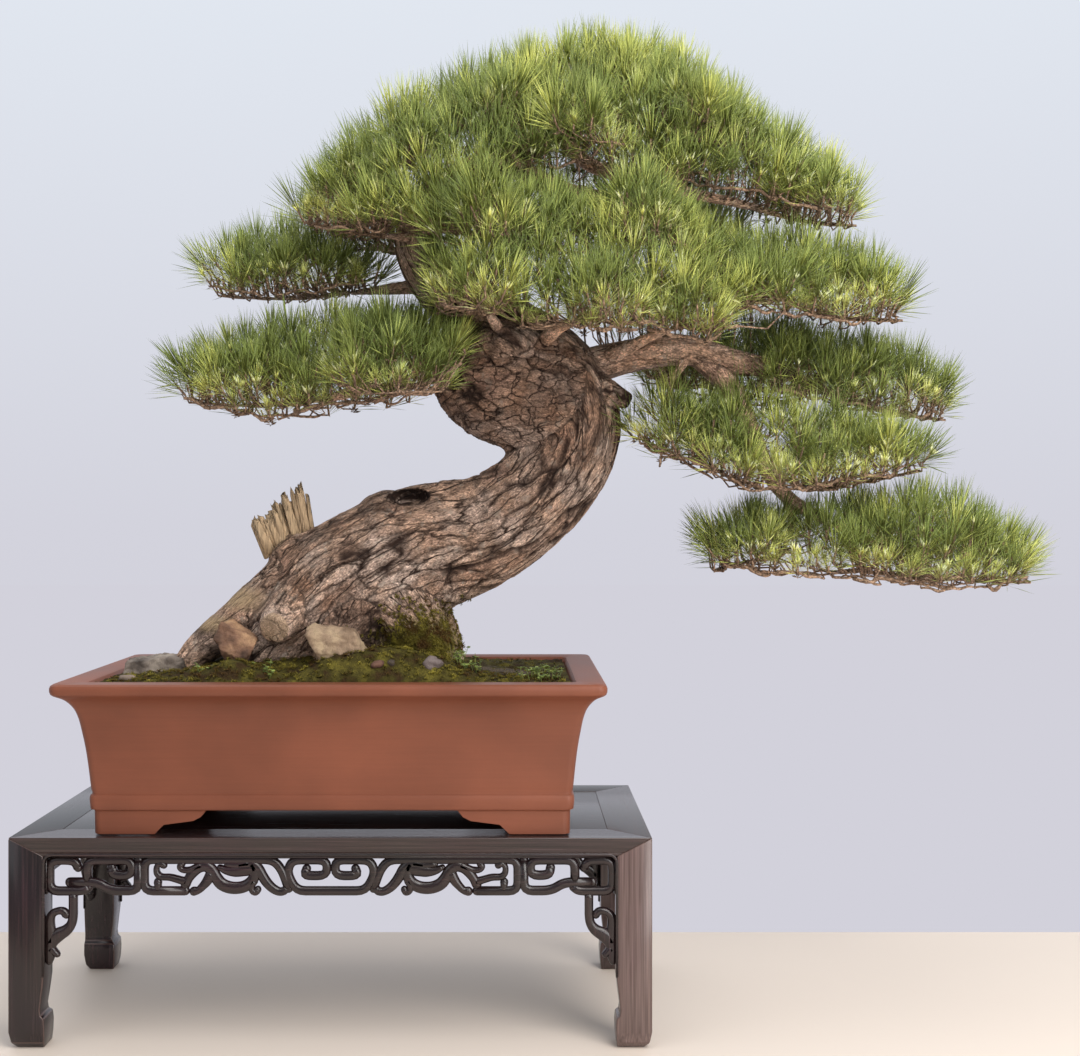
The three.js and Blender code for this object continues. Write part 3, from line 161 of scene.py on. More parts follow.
# Swellings of the trunk: middle, half sizes
SWELLINGS = [
    ((68, 0, 728), (68, 88, 76)), ((128, 0, 756), (46, 70, 44)), ((-76, -4, 686), (46, 52, 52)),
    ((-42, -6, 722), (27, 40, 27)),
    ((250, -46, 1018), (64, 62, 46)),
]
STUB = ([(380, -30, 952), (414, -46, 950), (442, -54, 938)], [25, 20, 14])
# Dark places: the stub's broken end, a cavity between the roots and the fork of the branch, both
# painted shade, and old bark at the left foot; middle, reach
DARK_SPOTS = [((438, -56, 942), (22, 34, 28)), ((46, -120, 580), (24, 90, 36)),
              ((690, -10, 975), (90, 90, 48)), ((-216, -30, 594), (30, 60, 17))]
BRANCHES = {
    "right": (
        [(345, 0, 985), (429, -10, 1009), (521, -20, 1021), (606, -30, 1001), (678, -15, 989),
         (708, 12, 982)],
        [34, 27, 25, 20, 14, 6],
    ),
    "down": (
        [(552, -22, 1011), (595, -30, 965), (624, -40, 903), (650, -40, 841), (683, -30, 795),
         (732, -20, 764), (790, -15, 740)],
        [20, 19, 16, 14, 12, 10, 6],
    ),
    "r1": (
        [(241, 0, 1322), (335, -22, 1269), (427, -40, 1242), (503, -60, 1201), (560, -70, 1167),
         (614, -72, 1133), (648, -78, 1094)],
        [18, 16, 15, 13, 11, 9, 4],
    ),
    "top_right": (
        [(329, 0, 1364), (382, -12, 1311), (458, -30, 1283), (549, -45, 1256), (619, -45, 1241),
         (686, -40, 1222)],
        [13, 12, 10, 9, 7, 4],
    ),
    "l1": (
        [(194, 0, 1067), (148, -20, 1021), (86, -28, 981), (1, -26, 952), (-62, -22, 940)],
        [22, 17, 13, 9, 4],
    ),
    "l2": ([(146, 10, 1127), (82, 30, 1125), (0, 48, 1120)], [15, 11, 4]),
    "l3": ([(144, 0, 1202), (105, -25, 1194), (63, -42, 1194)], [14, 9, 4]),
    "t3": ([(170, 0, 1278), (149, -38, 1294), (125, -58, 1304)], [12, 8, 4]),
    "r2": ([(675, -18, 990), (738, -20, 962), (803, 36, 943)], [12, 8, 4]),
    "br": ([(461, -5, 1015), (500, 70, 999), (525, 125, 981)], [13, 9, 4]),
    "r4a": ([(685, -30, 793), (695, -25, 748), (682, -25, 713)], [9, 6, 4]),
    "r4b": ([(779, -16, 744), (795, -35, 707), (798, -50, 685)], [8, 6, 4]),
    "r4c": ([(784, -15, 742), (852, -5, 706), (909, 0, 674)], [8, 6, 4]),
    "r3a": ([(639, -40, 867), (627, -58, 833), (614, -66, 817)], [9, 6, 4]),
    "r3b": ([(652, -40, 836), (679, -52, 820), (705, -60, 808)], [9, 6, 4]),
    "r3l": ([(537, -24, 1016), (509, -50, 974), (498, -62, 942)], [9, 6, 4]),
    "r1r": ([(610, -72, 1136), (676, -66, 1092), (727, -62, 1071)], [8, 6, 4]),
    "r1b": ([(503, -60, 1201), (543, 0, 1191), (565, 38, 1184)], [8, 6, 4]),
    "t2a": ([(458, -30, 1283), (495, 25, 1302), (518, 60, 1317)], [8, 6, 4]),
    "t1a": ([(316, 0, 1356), (275, -35, 1362), (248, -55, 1366)], [9, 6, 4]),
    "t1c": ([(367, 0, 1392), (443, -30, 1388), (490, -50, 1371)], [9, 6, 4]),
    "t1d": ([(335, 0, 1369), (320, 26, 1400), (304, 36, 1424)], [9, 6, 4]),
    "t1f": ([(335, 0, 1369), (346, -55, 1345), (355, -80, 1335)], [9, 6, 4]),
    "l1b": ([(94, -28, 984), (85, 35, 979), (73, 62, 979)], [8, 6, 4]),
    "l1c": ([(43, -28, 964), (59, -72, 954), (70, -92, 950)], [8, 6, 4]),
    "c1a": ([(249, -40, 1034), (233, -105, 1053), (224, -135, 1060)], [14, 9, 4]),
    "c1b": ([(303, -40, 1026), (331, -120, 1042), (366, -158, 1048)], [15, 9, 4]),
    "c1c": ([(412, -25, 1009), (465, -95, 1030), (497, -130, 1039)], [13, 8, 4]),
    "c2a": ([(116, -15, 1212), (166, -90, 1197), (206, -125, 1178)], [13, 9, 4]),
    "c2b": ([(396, -36, 1249), (399, -88, 1206), (409, -112, 1183)], [9, 7, 4]),
    "b1": ([(127, 10, 1169), (84, 85, 1190), (65, 120, 1203)], [13, 8, 4]),
    "b2": ([(203, 10, 1305), (241, 75, 1340), (260, 110, 1359)], [11, 8, 4]),
    "b3": ([(427, -35, 1242), (469, 50, 1247), (489, 92, 1250)], [10, 7, 4]),
}

# Sprays of foliage: name, branch it grows from, end of its main twig, reach to the left and to the
# right of that twig, and height of its dome over the twig
SPRAYS = [
    ("l1a", "l1", (-234, -10, 939), 78, 78, 50),
    ("l1b", "l1b", (25, 160, 981), 30, 70, 85),
    ("l1c", "l1c", (97, -170, 942), 84, 84, 85),
    ("l2", "l2", (-190, 52, 1114), 70, 70, 60),
    ("l3", "l3", (-55, -72, 1209), 66, 66, 80),
    ("t3", "t3", (58, -95, 1289), 62, 62, 65),
    ("t1a", "t1a", (174, -90, 1350), 62, 62, 30),
    ("t1b", "trunk", (476, 4, 1444), 66, 66, 20),
    ("t1c", "t1c", (609, -75, 1318), 66, 66, 35),
    ("t1d", "t1d", (256, 34, 1440), 60, 60, 28),
    ("t1f", "t1f", (407, -140, 1313), 70, 70, 50),
    ("t2a", "t2a", (607, 120, 1332), 66, 30, 50),
    ("t2b", "top_right", (792, -34, 1211), 62, 62, 48),
    ("c1a", "c1a", (165, -190, 1064), 70, 70, 60),
    ("c1b", "c1b", (458, -195, 1040), 62, 62, 60),
    ("c1c", "c1c", (590, -160, 1039), 62, 62, 60),
    ("c2a", "c2a", (297, -170, 1154), 66, 66, 60),
    ("c2b", "c2b", (512, -150, 1161), 62, 62, 60),
    ("r1l", "r1", (602, -140, 1076), 56, 25, 20),
    ("r1r", "r1r", (857, -58, 1061), 66, 66, 58),
    ("r1b", "r1b", (621, 100, 1196), 60, 25, 60),
    ("r2a", "right", (752, 112, 966), 62, 25, 50),
    ("r2b", "r2", (958, 60, 917), 70, 70, 55),
    ("br", "br", (543, 220, 984), 25, 62, 20),
    ("r3a", "r3a", (533, -80, 851), 60, 60, 45),
    ("r3b", "r3b", (883, -62, 831), 66, 66, 60),
    ("r3l", "r3l", (480, -112, 836), 26, 26, 8),
    ("r4a", "r4a", (573, -30, 677), 66, 66, 40),
    ("r4b", "r4b", (866, -92, 668), 70, 70, 70),
    ("r4c", "r4c", (1076, 6, 658), 66, 66, 50),
    ("b1", "b1", (20, 210, 1223), 70, 30, 70),
    ("b2", "b2", (317, 200, 1388), 35, 35, 60),
    ("b3", "b3", (562, 180, 1258), 66, 30, 60),
]
# Sprays whose needles are darker, low on the left and at the back: painted shade, given by older
# needles
DARK = {"l1a", "l1b", "l1c", "l2", "r2a", "r2b", "br", "b1", "b2", "b3"}

# The clouds that the sprays make together: how open they are, and sections from left to right with
# x, middle depth, underside, top and half depth
CLOUDS = [
    (0.96, [(-65, -40, 1212, 1274, 45), (-2, -50, 1199, 1337, 75), (84, -40, 1196, 1397, 95),
      (163, -30, 1215, 1444, 105), (257, -10, 1300, 1497, 110), (367, 0, 1314, 1523, 115),
      (461, 0, 1293, 1526, 115), (555, -10, 1274, 1475, 105), (634, -25, 1259, 1403, 85),
      (712, -35, 1235, 1337, 62), (791, -35, 1219, 1274, 40)]),
    (1.0, [(139, -110, 1093, 1262, 60), (198, -100, 1071, 1277, 90), (286, -90, 1042, 1277, 105),
      (389, -90, 1038, 1262, 105), (477, -90, 1035, 1247, 100), (536, -90, 1020, 1225, 85),
      (594, -90, 1042, 1167, 60)]),
    (1.05, [(-260, -10, 949, 1026, 35), (-206, -10, 929, 1057, 60), (-113, -15, 910, 1083, 78),
      (-21, -20, 928, 1095, 88), (72, -40, 938, 1095, 95), (149, -80, 960, 1072, 70),
      (203, -115, 995, 1057, 35)]),
    (1.1, [(-233, 50, 1133, 1198, 35), (-161, 50, 1112, 1234, 60), (-80, 48, 1117, 1246, 62),
      (0, 40, 1125, 1214, 55), (56, 30, 1125, 1190, 40)]),
    (1.05, [(547, -90, 1077, 1161, 50), (609, -75, 1074, 1203, 70), (700, -60, 1062, 1212, 75),
      (792, -58, 1053, 1184, 65), (853, -58, 1070, 1146, 40)]),
    (1.1, [(466, 70, 982, 1038, 40), (560, 80, 970, 1060, 60), (660, 50, 958, 1095, 88),
      (757, 45, 942, 1071, 90), (853, 50, 925, 1054, 76), (950, 58, 917, 998, 45)]),
    (1.25, [(433, -70, 878, 947, 35), (517, -70, 845, 962, 60), (609, -65, 802, 970, 70),
      (700, -60, 799, 947, 75), (792, -60, 817, 940, 70), (891, -60, 840, 901, 40)]),
    (1.22, [(559, -30, 697, 772, 35), (644, -35, 671, 787, 68), (737, -45, 666, 795, 80),
      (830, -50, 660, 821, 88), (923, -40, 648, 818, 85), (1006, -10, 651, 787, 68),
      (1072, 5, 675, 741, 35)]),
]


def linear(hexcode):
    """A colour given as sRGB hex, as linear red, green and blue."""
    parts = [int(hexcode[i : i + 2], 16) / 255 for i in (1, 3, 5)]
    return tuple(c / 12.92 if c <= 0.04045 else ((c + 0.055) / 1.055) ** 2.4 for c in parts)


def colour_property(name, description, hexcode):
    return FloatVectorProperty(
        name=name, description=description, subtype="COLOR", size=3, min=0, max=1,
        default=linear(hexcode),
    )


class PineSettings(bpy.types.PropertyGroup):
    """Needles, bark and moss."""

    needle_length: FloatProperty(
        name="Needle length", description="Length of a grown needle", default=0.062, unit="LENGTH"
    )
    needle_width: FloatProperty(
        name="Needle width", description="Width of a needle at its root", default=0.00145,
        unit="LENGTH",
    )
    tuft_spacing: FloatProperty(
        name="Tuft spacing", description="Distance between two tufts of needles", default=0.024,
        unit="LENGTH",
    )
    needles_per_ring: IntProperty(
        name="Needles in a ring", description="Needles in each ring of a tuft", default=9
    )
    mature: colour_property("Grown needles", "Colour of last year's needles", "#879651")
    young: colour_property("Young needles", "Colour of this year's needles", "#d6db80")
    bark: colour_property("Bark plates", "Colour of the bark's plates", "#a99588")
    fissure: colour_property("Bark fissures", "Colour deep between the plates", "#2b1b13")
    twig: colour_property("Twigs", "Colour of the twigs and their bud scales", "#8f7560")
    dead: colour_property("Dead wood", "Colour of bleached dead wood", "#ab9273")
    moss: colour_property("Moss", "Colour of the moss", "#564e1e")


class HolderSettings(bpy.types.PropertyGroup):
    """Pot, stand and floor."""

    clay: colour_property("Clay", "Colour of the fired clay", "#794531")
    rosewood: colour_property("Rosewood", "Colour of the stained wood", "#281c1d")
    floor: colour_property("Floor", "Colour of the floor", "#dfd1c4")


def settings():
    scene = bpy.context.scene
    return scene.pine_settings, scene.holder_settings


def result(node):
    """The output of a node that is read most: the colour of a mix, the number of an attribute."""
    return node.outputs[2 if node.bl_idname in ("ShaderNodeMix", "ShaderNodeAttribute") else 0]


def add_node(tree, kind, values):
    """Adds a shader node and sets its properties, stops and sockets; a node or socket is linked."""
    made = tree.nodes.new("ShaderNode" + kind)
    for key, value in values.items():
        if isinstance(value, bpy.types.Node):
            value = result(value)
        if isinstance(value, bpy.types.NodeSocket):
            tree.links.new(value, made.inputs[key])
        elif key == "stops":
            elements = made.color_ramp.elements
            while len(elements) < len(value):
                elements.new(1)
            for element, (position, rgb) in zip(elements, value):
                element.position = position
                element.color = colour(rgb)
        elif isinstance(key, str) and hasattr(made, key):
            setattr(made, key, value)
        else:
            made.inputs[key].default_value = value
    return made


def object_place(tree):
    return add_node(tree, "TexCoord", {}).outputs["Object"]


def stored(tree, name):
    """What a mesh stores under a name, such as how worn it is."""
    return add_node(tree, "Attribute", {"attribute_name": name})


def stretched(tree, where, scale):
    return add_node(tree, "Mapping", {"Scale": scale, "Vector": where})


def cloudy(tree, where, scale, detail, **more):
    return add_node(tree, "TexNoise", {"Scale": scale, "Detail": detail, "Vector": where, **more})


def ramp(tree, source, *stops):
    return add_node(tree, "ValToRGB", {"stops": stops, "Fac": source})


def mixed(tree, blend, share, a, b):
    values = {"data_type": "RGBA", "blend_type": blend, 0: share, 6: a, 7: b}
    return add_node(tree, "Mix", values)


def calculated(tree, operation, *inputs, clamp=False):
    values = {"operation": operation, "use_clamp": clamp, **dict(enumerate(inputs))}
    return add_node(tree, "Math", values)


def ranged(tree, value, old, new):
    """A number's range moved from an old low and high to new ones."""
    return add_node(tree, "MapRange", {
        "From Min": old[0], "From Max": old[1], "To Min": new[0], "To Max": new[1], "Value": value,
    })


def new_material(name, values):
    """A material with its Principled shader, whose fixed values are set on its own sockets."""
    made = bpy.data.materials.new(name)
    made.use_nodes = True
    for key, value in values.items():
        made.node_tree.nodes["Principled BSDF"].inputs[key].default_value = value
    return made, made.node_tree


def lay_on(tree, tone, height=None, strength=0, distance=0):
    """Links a material's colour, and its bump from a height, with the bump's depth in metres."""
    shader = tree.nodes["Principled BSDF"]
    tree.links.new(result(tone), shader.inputs["Base Color"])
    if height:
        values = {"Strength": strength, "Distance": distance, "Height": height}
        tree.links.new(result(add_node(tree, "Bump", values)), shader.inputs["Normal"])


def colour(rgb):
    return (*rgb, 1)


def at(x, y, z):
    return TO_FRAME @ Vector((x, y, z))


def copy_of(node):
    """A CAD node's mesh with its loose triangles merged and its flat faces whole."""
    bm = bmesh.new()
    bm.from_mesh(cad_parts[node].data)
    bmesh.ops.remove_doubles(bm, verts=bm.verts, dist=1e-5)
    bmesh.ops.dissolve_limit(
        bm, angle_limit=math.radians(0.6), verts=bm.verts, edges=bm.edges, delimit=set()
    )
    return bm


def mesh_of(bm, name):
    """Turns a bmesh into a mesh, and frees it."""
    mesh = bpy.data.meshes.new(name)
    bm.to_mesh(mesh)
    bm.free()
    return mesh


def bmesh_of(mesh):
    """Turns a mesh into a bmesh, and removes it."""
    bm = bmesh.new()
    bm.from_mesh(mesh)
    bpy.data.meshes.remove(mesh)
    return bm


def moved(bm, matrix):
    bmesh.ops.transform(bm, matrix=matrix, verts=bm.verts)
    return bm


def small_shape(bm, name):
    """A shape that is placed many times: its mesh and its points."""
    mesh = mesh_of(bm, name)
    return mesh, stored_points(mesh, "co")


def stored_points(mesh, kind):
    flat = np.zeros(len(mesh.vertices) * 3, np.float32)
    mesh.vertices.foreach_get(kind, flat)
    return flat.reshape(-1, 3)


def finish_piece(bm, name, materials, replaced=(), sharp=math.radians(38)):
    """Makes an object of a bmesh with its materials, and hides the CAD parts that it replaces."""
    finish_mesh(mesh_of(bm, name), name, materials, replaced, sharp)


def finish_mesh(mesh, name, materials, replaced=(), sharp=math.radians(38)):
    for material in materials:
        mesh.materials.append(material)
    mesh.shade_smooth()
    if sharp:
        mesh.set_sharp_from_angle(angle=sharp)
    piece = bpy.data.objects.new(name, mesh)
    bpy.context.scene.collection.objects.link(piece)
    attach(piece, "root")
    if replaced:
        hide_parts(*replaced)


def with_modifier(bm, kind, **values):
    """The mesh that a modifier makes of a bmesh."""
    mesh = mesh_of(bm, "work")
    work = bpy.data.objects.new("work", mesh)
    bpy.context.scene.collection.objects.link(work)
    modifier = work.modifiers.new(kind, kind)
    for key, value in values.items():
        setattr(modifier, key, value)
    seen = work.evaluated_get(bpy.context.evaluated_depsgraph_get())
    made = bpy.data.meshes.new_from_object(seen)
    bpy.data.objects.remove(work)
    bpy.data.meshes.remove(mesh)
    return made


def cut(bm, cutters):
    """Cuts solids out of a bmesh, one after the other."""
    for cutter in cutters:
        mesh = mesh_of(cutter, "cutter")
        tool = bpy.data.objects.new("cutter", mesh)
        bpy.context.scene.collection.objects.link(tool)
        made = with_modifier(bm, "BOOLEAN", operation="DIFFERENCE", solver="EXACT", object=tool)
        bpy.data.objects.remove(tool)
        bpy.data.meshes.remove(mesh)
        bm = bmesh_of(made)
    return bm


def spline(points, t):
    """Point and heading of a smooth line through the points, with t from 0 to their count - 1."""
    last = len(points) - 1
    low = min(int(t), last - 1)
    u = t - low
    p0, p1, p2, p3 = (Vector(points[min(max(low + k, 0), last)]) for k in (-1, 0, 1, 2))
    if low == 0:
        p0 = 2 * p1 - p2
    if low == last - 1:
        p3 = 2 * p2 - p1
    a, b, c = 2 * p0 - 5 * p1 + 4 * p2 - p3, 3 * p1 - 3 * p2 + p3 - p0, p2 - p0
    place = 0.5 * (2 * p1 + c * u + a * u * u + b * u * u * u)
    heading = 0.5 * (c + 2 * a * u + 3 * b * u * u)
    return place, heading.normalized()


def length_of(points):
    return sum((Vector(b) - Vector(a)).length for a, b in zip(points, points[1:]))


def stations(points, radii, step):
    """Frames along a smooth line: centre, two cross directions, heading, radius, length so far."""
    last = len(points) - 1
    count = max(3, round(length_of(points) / step))
    made = []
    side = Vector((0, 1, 0))
    before, run = None, 0.0
    for i in range(count + 1):
        t = last * i / count
        place, heading = spline(points, t)
        if i == 0 and abs(heading.y) > 0.9:
            side = Vector((1, 0, 0))
        side = (side - heading * side.dot(heading)).normalized()
        low = min(int(t), last - 1)
        radius = radii[low] + (radii[low + 1] - radii[low]) * (t - low)
        run += (place - before).length if before else 0
        before = place
        made.append((place, side.copy(), heading.cross(side), heading, radius, run))
    return made


def join(bm, part):
    """Adds one bmesh to another."""
    mesh = mesh_of(part, "part")
    bm.from_mesh(mesh)
    bpy.data.meshes.remove(mesh)


def extruded_ring(bm, edges, ring):
    """Extrudes a ring of edges: the new edges, and the new vertex of each old one."""
    made = bmesh.ops.extrude_edge_only(bm, edges=edges)["geom"]
    old = set(ring)
    edges = [g for g in made if isinstance(g, bmesh.types.BMEdge)]
    edges = [e for e in edges if not any(v in old for v in e.verts)]
    upper = {v for e in edges for v in e.verts}
    above = [next(e.other_vert(v) for e in v.link_edges if e.other_vert(v) in upper) for v in ring]
    return edges, above


def add_tube(bm, frames, sides, flat=1.0, rough=None):
    """Adds a closed tube round the frames, one ring at each."""
    tube = bmesh.new()
    ring = bmesh.ops.create_circle(tube, cap_ends=True, segments=sides, radius=1)["verts"]
    turns = [math.atan2(v.co.y, v.co.x) for v in ring]
    edges = list({e for v in ring for e in v.link_edges})
    for i, (centre, side, across, heading, radius, run) in enumerate(frames):
        if i > 0:
            edges, ring = extruded_ring(tube, edges, ring)
        for v, turn in zip(ring, turns):
            reach = radius * (rough(i / (len(frames) - 1), turn) if rough else 1)
            v.co = (
                centre + side * (math.cos(turn) * reach * flat) + across * (math.sin(turn) * reach)
            )
    bmesh.ops.contextual_create(tube, geom=edges)
    join(bm, tube)


def add_ball(bm, middle, size, tilt=0.0, around=36):
    ball = bmesh.new()
    bmesh.ops.create_uvsphere(ball, u_segments=around, v_segments=around * 2 // 3, radius=1)
    turned = Matrix.Translation(middle) @ Matrix.Rotation(tilt, 4, "Y")
    join(bm, moved(ball, turned @ Matrix.Diagonal((*size, 1))))


def smooth_points(bm):
    bmesh.ops.smooth_vert(
        bm, verts=bm.verts, factor=0.5, use_axis_x=True, use_axis_y=True, use_axis_z=True
    )


def recalculated(bm):
    bmesh.ops.recalc_face_normals(bm, faces=bm.faces)
    return bm


# Stand


def rosewood(axis):
    """Dark stained rosewood, waxed: long fine streaks along the grain, a soft sheen, worn edges."""
    name = "waxed_rosewood_along_" + axis
    if name in bpy.data.materials:
        return bpy.data.materials[name]
    made, tree = new_material(name, {"Coat Weight": 0.15, "Coat Roughness": 0.14, "IOR": 1.5})
    base = Vector(settings()[1].rosewood)
    # A streak is about 2 mm wide and 150 mm long
    fine, long = 420, 7
    where = object_place(tree)
    laid = stretched(tree, where, [long if letter == axis else fine for letter in "xyz"])
    streak = cloudy(tree, laid, 1, 5, Distortion=0.3)
    broad = cloudy(tree, where, 9, 3)
    glow = base * 1.9 + Vector((0.004, 0, 0))
    tones = ramp(tree, streak, (0.32, base * 0.5), (0.52, base), (0.72, glow))
    patched = mixed(tree, "MULTIPLY", 0.5, tones, broad.outputs["Color"])
    # Paler boards, on the right: partly real fading, partly a painted sheen of the light that falls
    # from the right
    sheen_and_fading_tones = ramp(tree, streak, (0.3, linear("#4a3a36")), (0.65, linear("#685752")))
    paler = mixed(tree, "ADD", stored(tree, "pale"), patched, sheen_and_fading_tones)
    rubbed = calculated(tree, "MULTIPLY", stored(tree, "worn"), broad)
    edge = mixed(tree, "MIX", rubbed, paler, colour(linear("#5a443d")))
    lay_on(tree, edge, streak, 0.12, 0.0006)
    gloss = ranged(tree, streak, (0, 1), (0.17, 0.32))
    tree.links.new(result(gloss), tree.nodes["Principled BSDF"].inputs["Roughness"])
    return made


def eased_edges(bm, width, segments=2, sharpest=math.radians(25)):
    """Rounds a solid's edges, and marks the rounding as worn."""
    worn = bm.faces.layers.float.new("worn")
    edges = [e for e in bm.edges if len(e.link_faces) == 2 and e.calc_face_angle() > sharpest]
    made = bmesh.ops.bevel(
        bm, geom=edges, offset=width, offset_type="OFFSET", segments=segments, profile=0.5,
        affect="EDGES", clamp_overlap=True, material=-1,
    )
    for face in made["faces"]:
        face[worn] = 1
    return bm


# Grain, width of the rounded edges, and how much paler the board is than the darkest: partly
# real fading, partly a painted sheen of the light from the right
STAND_BOARDS = {
    "stand_rail_front": ("x", 0.0004, 0.12), "stand_rail_back": ("x", 0.0004, 0.1),
    "stand_rail_left": ("y", 0.0004, 0.0), "stand_rail_right": ("y", 0.0004, 0.25),
    "stand_panel": ("x", 0.0006, 0.1),
    "stand_leg_front_left": ("z", 0.0016, 0.0), "stand_leg_front_right": ("z", 0.0016, 1.0),
    "stand_leg_back_left": ("z", 0.0016, 0.0), "stand_leg_back_right": ("z", 0.0016, 0.3),
}
BRACKET_SIDES = ["front_left", "front_right", "back_left", "back_right",
                 "left_front", "left_back", "right_front", "right_back"]


def build_boards():
    for node, (axis, width, pale) in STAND_BOARDS.items():
        bm = eased_edges(copy_of(node), width)
        # How much paler the board is: partly real fading, partly a painted sheen of the light from
        # the right
        board = bm.faces.layers.float.new("pale")
        for face in bm.faces:
            face[board] = pale
        name = node.replace("stand_", "") + "_board"
        finish_piece(bm, name, [rosewood(axis)], [node])


def rounded_corners(points, reach):
    """A line with an arc in place of each corner."""
    made = [Vector(points[0])]
    for before, here, after in zip(points, points[1:], points[2:]):
        a, b, c = Vector(before), Vector(here), Vector(after)
        start = b + (a - b).normalized() * min(reach, (a - b).length * 0.45)
        end = b + (c - b).normalized() * min(reach, (c - b).length * 0.45)
        for i in range(5):
            u = i / 4
            made.append(start * (1 - u) ** 2 + b * (2 * u * (1 - u)) + end * u * u)
    made.append(Vector(points[-1]))
    return made


def add_bar(bm, centres, widths, thick):
    """A carved upright bar with rounded sides and knobs at its ends, its face at y = 0."""
    deep = Vector((0, 1, 0))
    widths = [width * FRET_SWELL for width in widths]
    frames = []
    for i, (place, width) in enumerate(zip(centres, widths)):
        ahead, back = centres[min(i + 1, len(centres) - 1)], centres[max(i - 1, 0)]
        heading = (ahead - back).normalized()
        centre = place + deep * (thick / 2)
        frames.append((centre, deep * (thick / width), heading.cross(deep), heading, width / 2, 0))
    # The section is nearly square-shouldered, as a carver leaves it
    square = 0.34

    def section(_, turn):
        c, s = abs(math.cos(turn)), abs(math.sin(turn))
        return 1 / (c ** (1 / square) + s ** (1 / square)) ** square

    add_tube(bm, frames, 10, 1.0, section)
    for centre, width in ((frames[0][0], widths[0]), (frames[-1][0], widths[-1])):
        add_ball(bm, centre, (width / 2, thick * 0.46, width / 2), 0.0, 12)


def add_strap(bm, points, width, thick):
    """A bar along straight lines with rounded corners."""
    line = rounded_corners([(x, 0, z) for x, z in points], 13)
    add_bar(bm, line, [width] * len(line), thick)


def add_scroll(bm, points, thick):
    """A bar along a smooth line, its width changing on the way."""
    places = [(x, 0, z) for x, z, _ in points]
    last = len(points) - 1
    steps = [last * i / (last * 4) for i in range(last * 4 + 1)]
    widths = np.interp(steps, range(last + 1), [width for _, _, width in points])
    add_bar(bm, [spline(places, t)[0] for t in steps], list(widths), thick)


def fretwork(bars, scrolls):
    """The whole pattern from its left half; a bar that reaches the middle runs on past it."""
    bm = bmesh.new()
    for width, line in bars:
        mirrored = [(-x, z) for x, z in line]
        if line[-1][0] == 0:
            add_strap(bm, line[:-1] + mirrored[-2::-1], width, APRON["thick"])
            continue
        add_strap(bm, line, width, APRON["thick"])
        add_strap(bm, mirrored, width, APRON["thick"])
    for line in scrolls:
        for hand in (1, -1):
            add_scroll(bm, [(hand * x, z, width) for x, z, width in line], APRON["thick"])
    return recalculated(bm)


def half_opening(side):
    return STAND_OPENING["long" if side in LONG_SIDES else "short"]


def side_places(inset):
    """How far each side of the stand is turned and moved, from a pattern made for the front."""
    out_x, out_y = STAND["half_width"] - inset, STAND["half_depth"] - inset
    places = {
        "front": (0, (0, -out_y)), "back": (180, (0, out_y)),
        "left": (-90, (-out_x, 0)), "right": (90, (out_x, 0)),
    }
    return {
        side: Matrix.Translation((x, y, 0)) @ Matrix.Rotation(math.radians(turn), 4, "Z")
        for side, (turn, (x, y)) in places.items()
    }


def build_aprons():
    for side, move in side_places(APRON["recess"]).items():
        is_long = side in LONG_SIDES
        bm = fretwork(FRET_LONG, FRET_SCROLLS) if is_long else fretwork(FRET_SHORT, [])
        finish_piece(
            moved(bm, TO_FRAME @ move), "fretwork_" + side, [rosewood("x" if is_long else "y")],
            ["stand_apron_" + side], None,
        )


# Bead round the opening of a side: height of its foot and top, width, thickness, how far it lies
# past the inner edges of the legs, and how far it stands out of their faces
BEAD = {"low": 104, "high": 277.6, "width": 3, "thick": 2.4, "past": 1.2, "out": 1.1}


def build_brackets():
    """Scrolled brackets under the aprons' ends, and the bead round each side's opening."""
    places = side_places(APRON["recess"])
    for name in BRACKET_SIDES:
        side, end = name.split("_")
        # Seen from outside, which end of its side it is on
        leftmost = {"front": "left", "back": "right", "left": "back", "right": "front"}[side]
        hand = -1 if end == leftmost else 1
        inner = half_opening(side)
        bm = bmesh.new()
        for line in BRACKET_SCROLLS:
            scroll = [(hand * (inner - away), z, width) for away, z, width in line]
            add_scroll(bm, scroll, APRON["thick"])
        moved(recalculated(bm), TO_FRAME @ places[side])
        finish_piece(
            bm, "bracket_" + name, [rosewood("z")], ["stand_bracket_" + name], None
        )
    for side, move in side_places(0).items():
        half, low, high = half_opening(side) + BEAD["past"], BEAD["low"], BEAD["high"]
        line = [(-half, low), (-half, high), (half, high), (half, low)]
        bm = bmesh.new()
        add_strap(bm, line, BEAD["width"], BEAD["thick"])
        bmesh.ops.translate(bm, verts=bm.verts, vec=(0, -BEAD["out"], 0))
        moved(recalculated(bm), TO_FRAME @ move)
        finish_piece(bm, "bead_" + side, [rosewood("x")], (), None)


# Pot


def clay():
    """Unglazed fired clay, burnished: a warm red-brown, matt, with a fine grit."""
    made, tree = new_material("unglazed_clay", {"IOR": 1.5, "Specular IOR Level": 0.35})
    where = object_place(tree)
    cloud = cloudy(tree, where, 6, 5)
    # Wiping marks run level round the pot, about 3 mm high
    wiped = cloudy(tree, stretched(tree, where, (9, 9, 330)), 1, 3)
    # Grit of about 0.8 mm
    grit = cloudy(tree, where, 1200, 2)
    base = Vector(settings()[1].clay)
    tones = ramp(tree, cloud, (0.35, base * 0.86), (0.5, base), (0.68, base * 1.16))
    streaked = mixed(tree, "SOFT_LIGHT", 0.1, tones, wiped)
    specks = ranged(tree, grit, (0.62, 0.74), (0, 0.45))
    speckled = mixed(tree, "MIX", specks, streaked, colour(linear("#6a3626")))
    lay_on(tree, speckled, grit, 0.15, 0.0004)
    rough = ranged(tree, cloud, (0, 1), (0.4, 0.56))
    tree.links.new(result(rough), tree.nodes["Principled BSDF"].inputs["Roughness"])
    return made


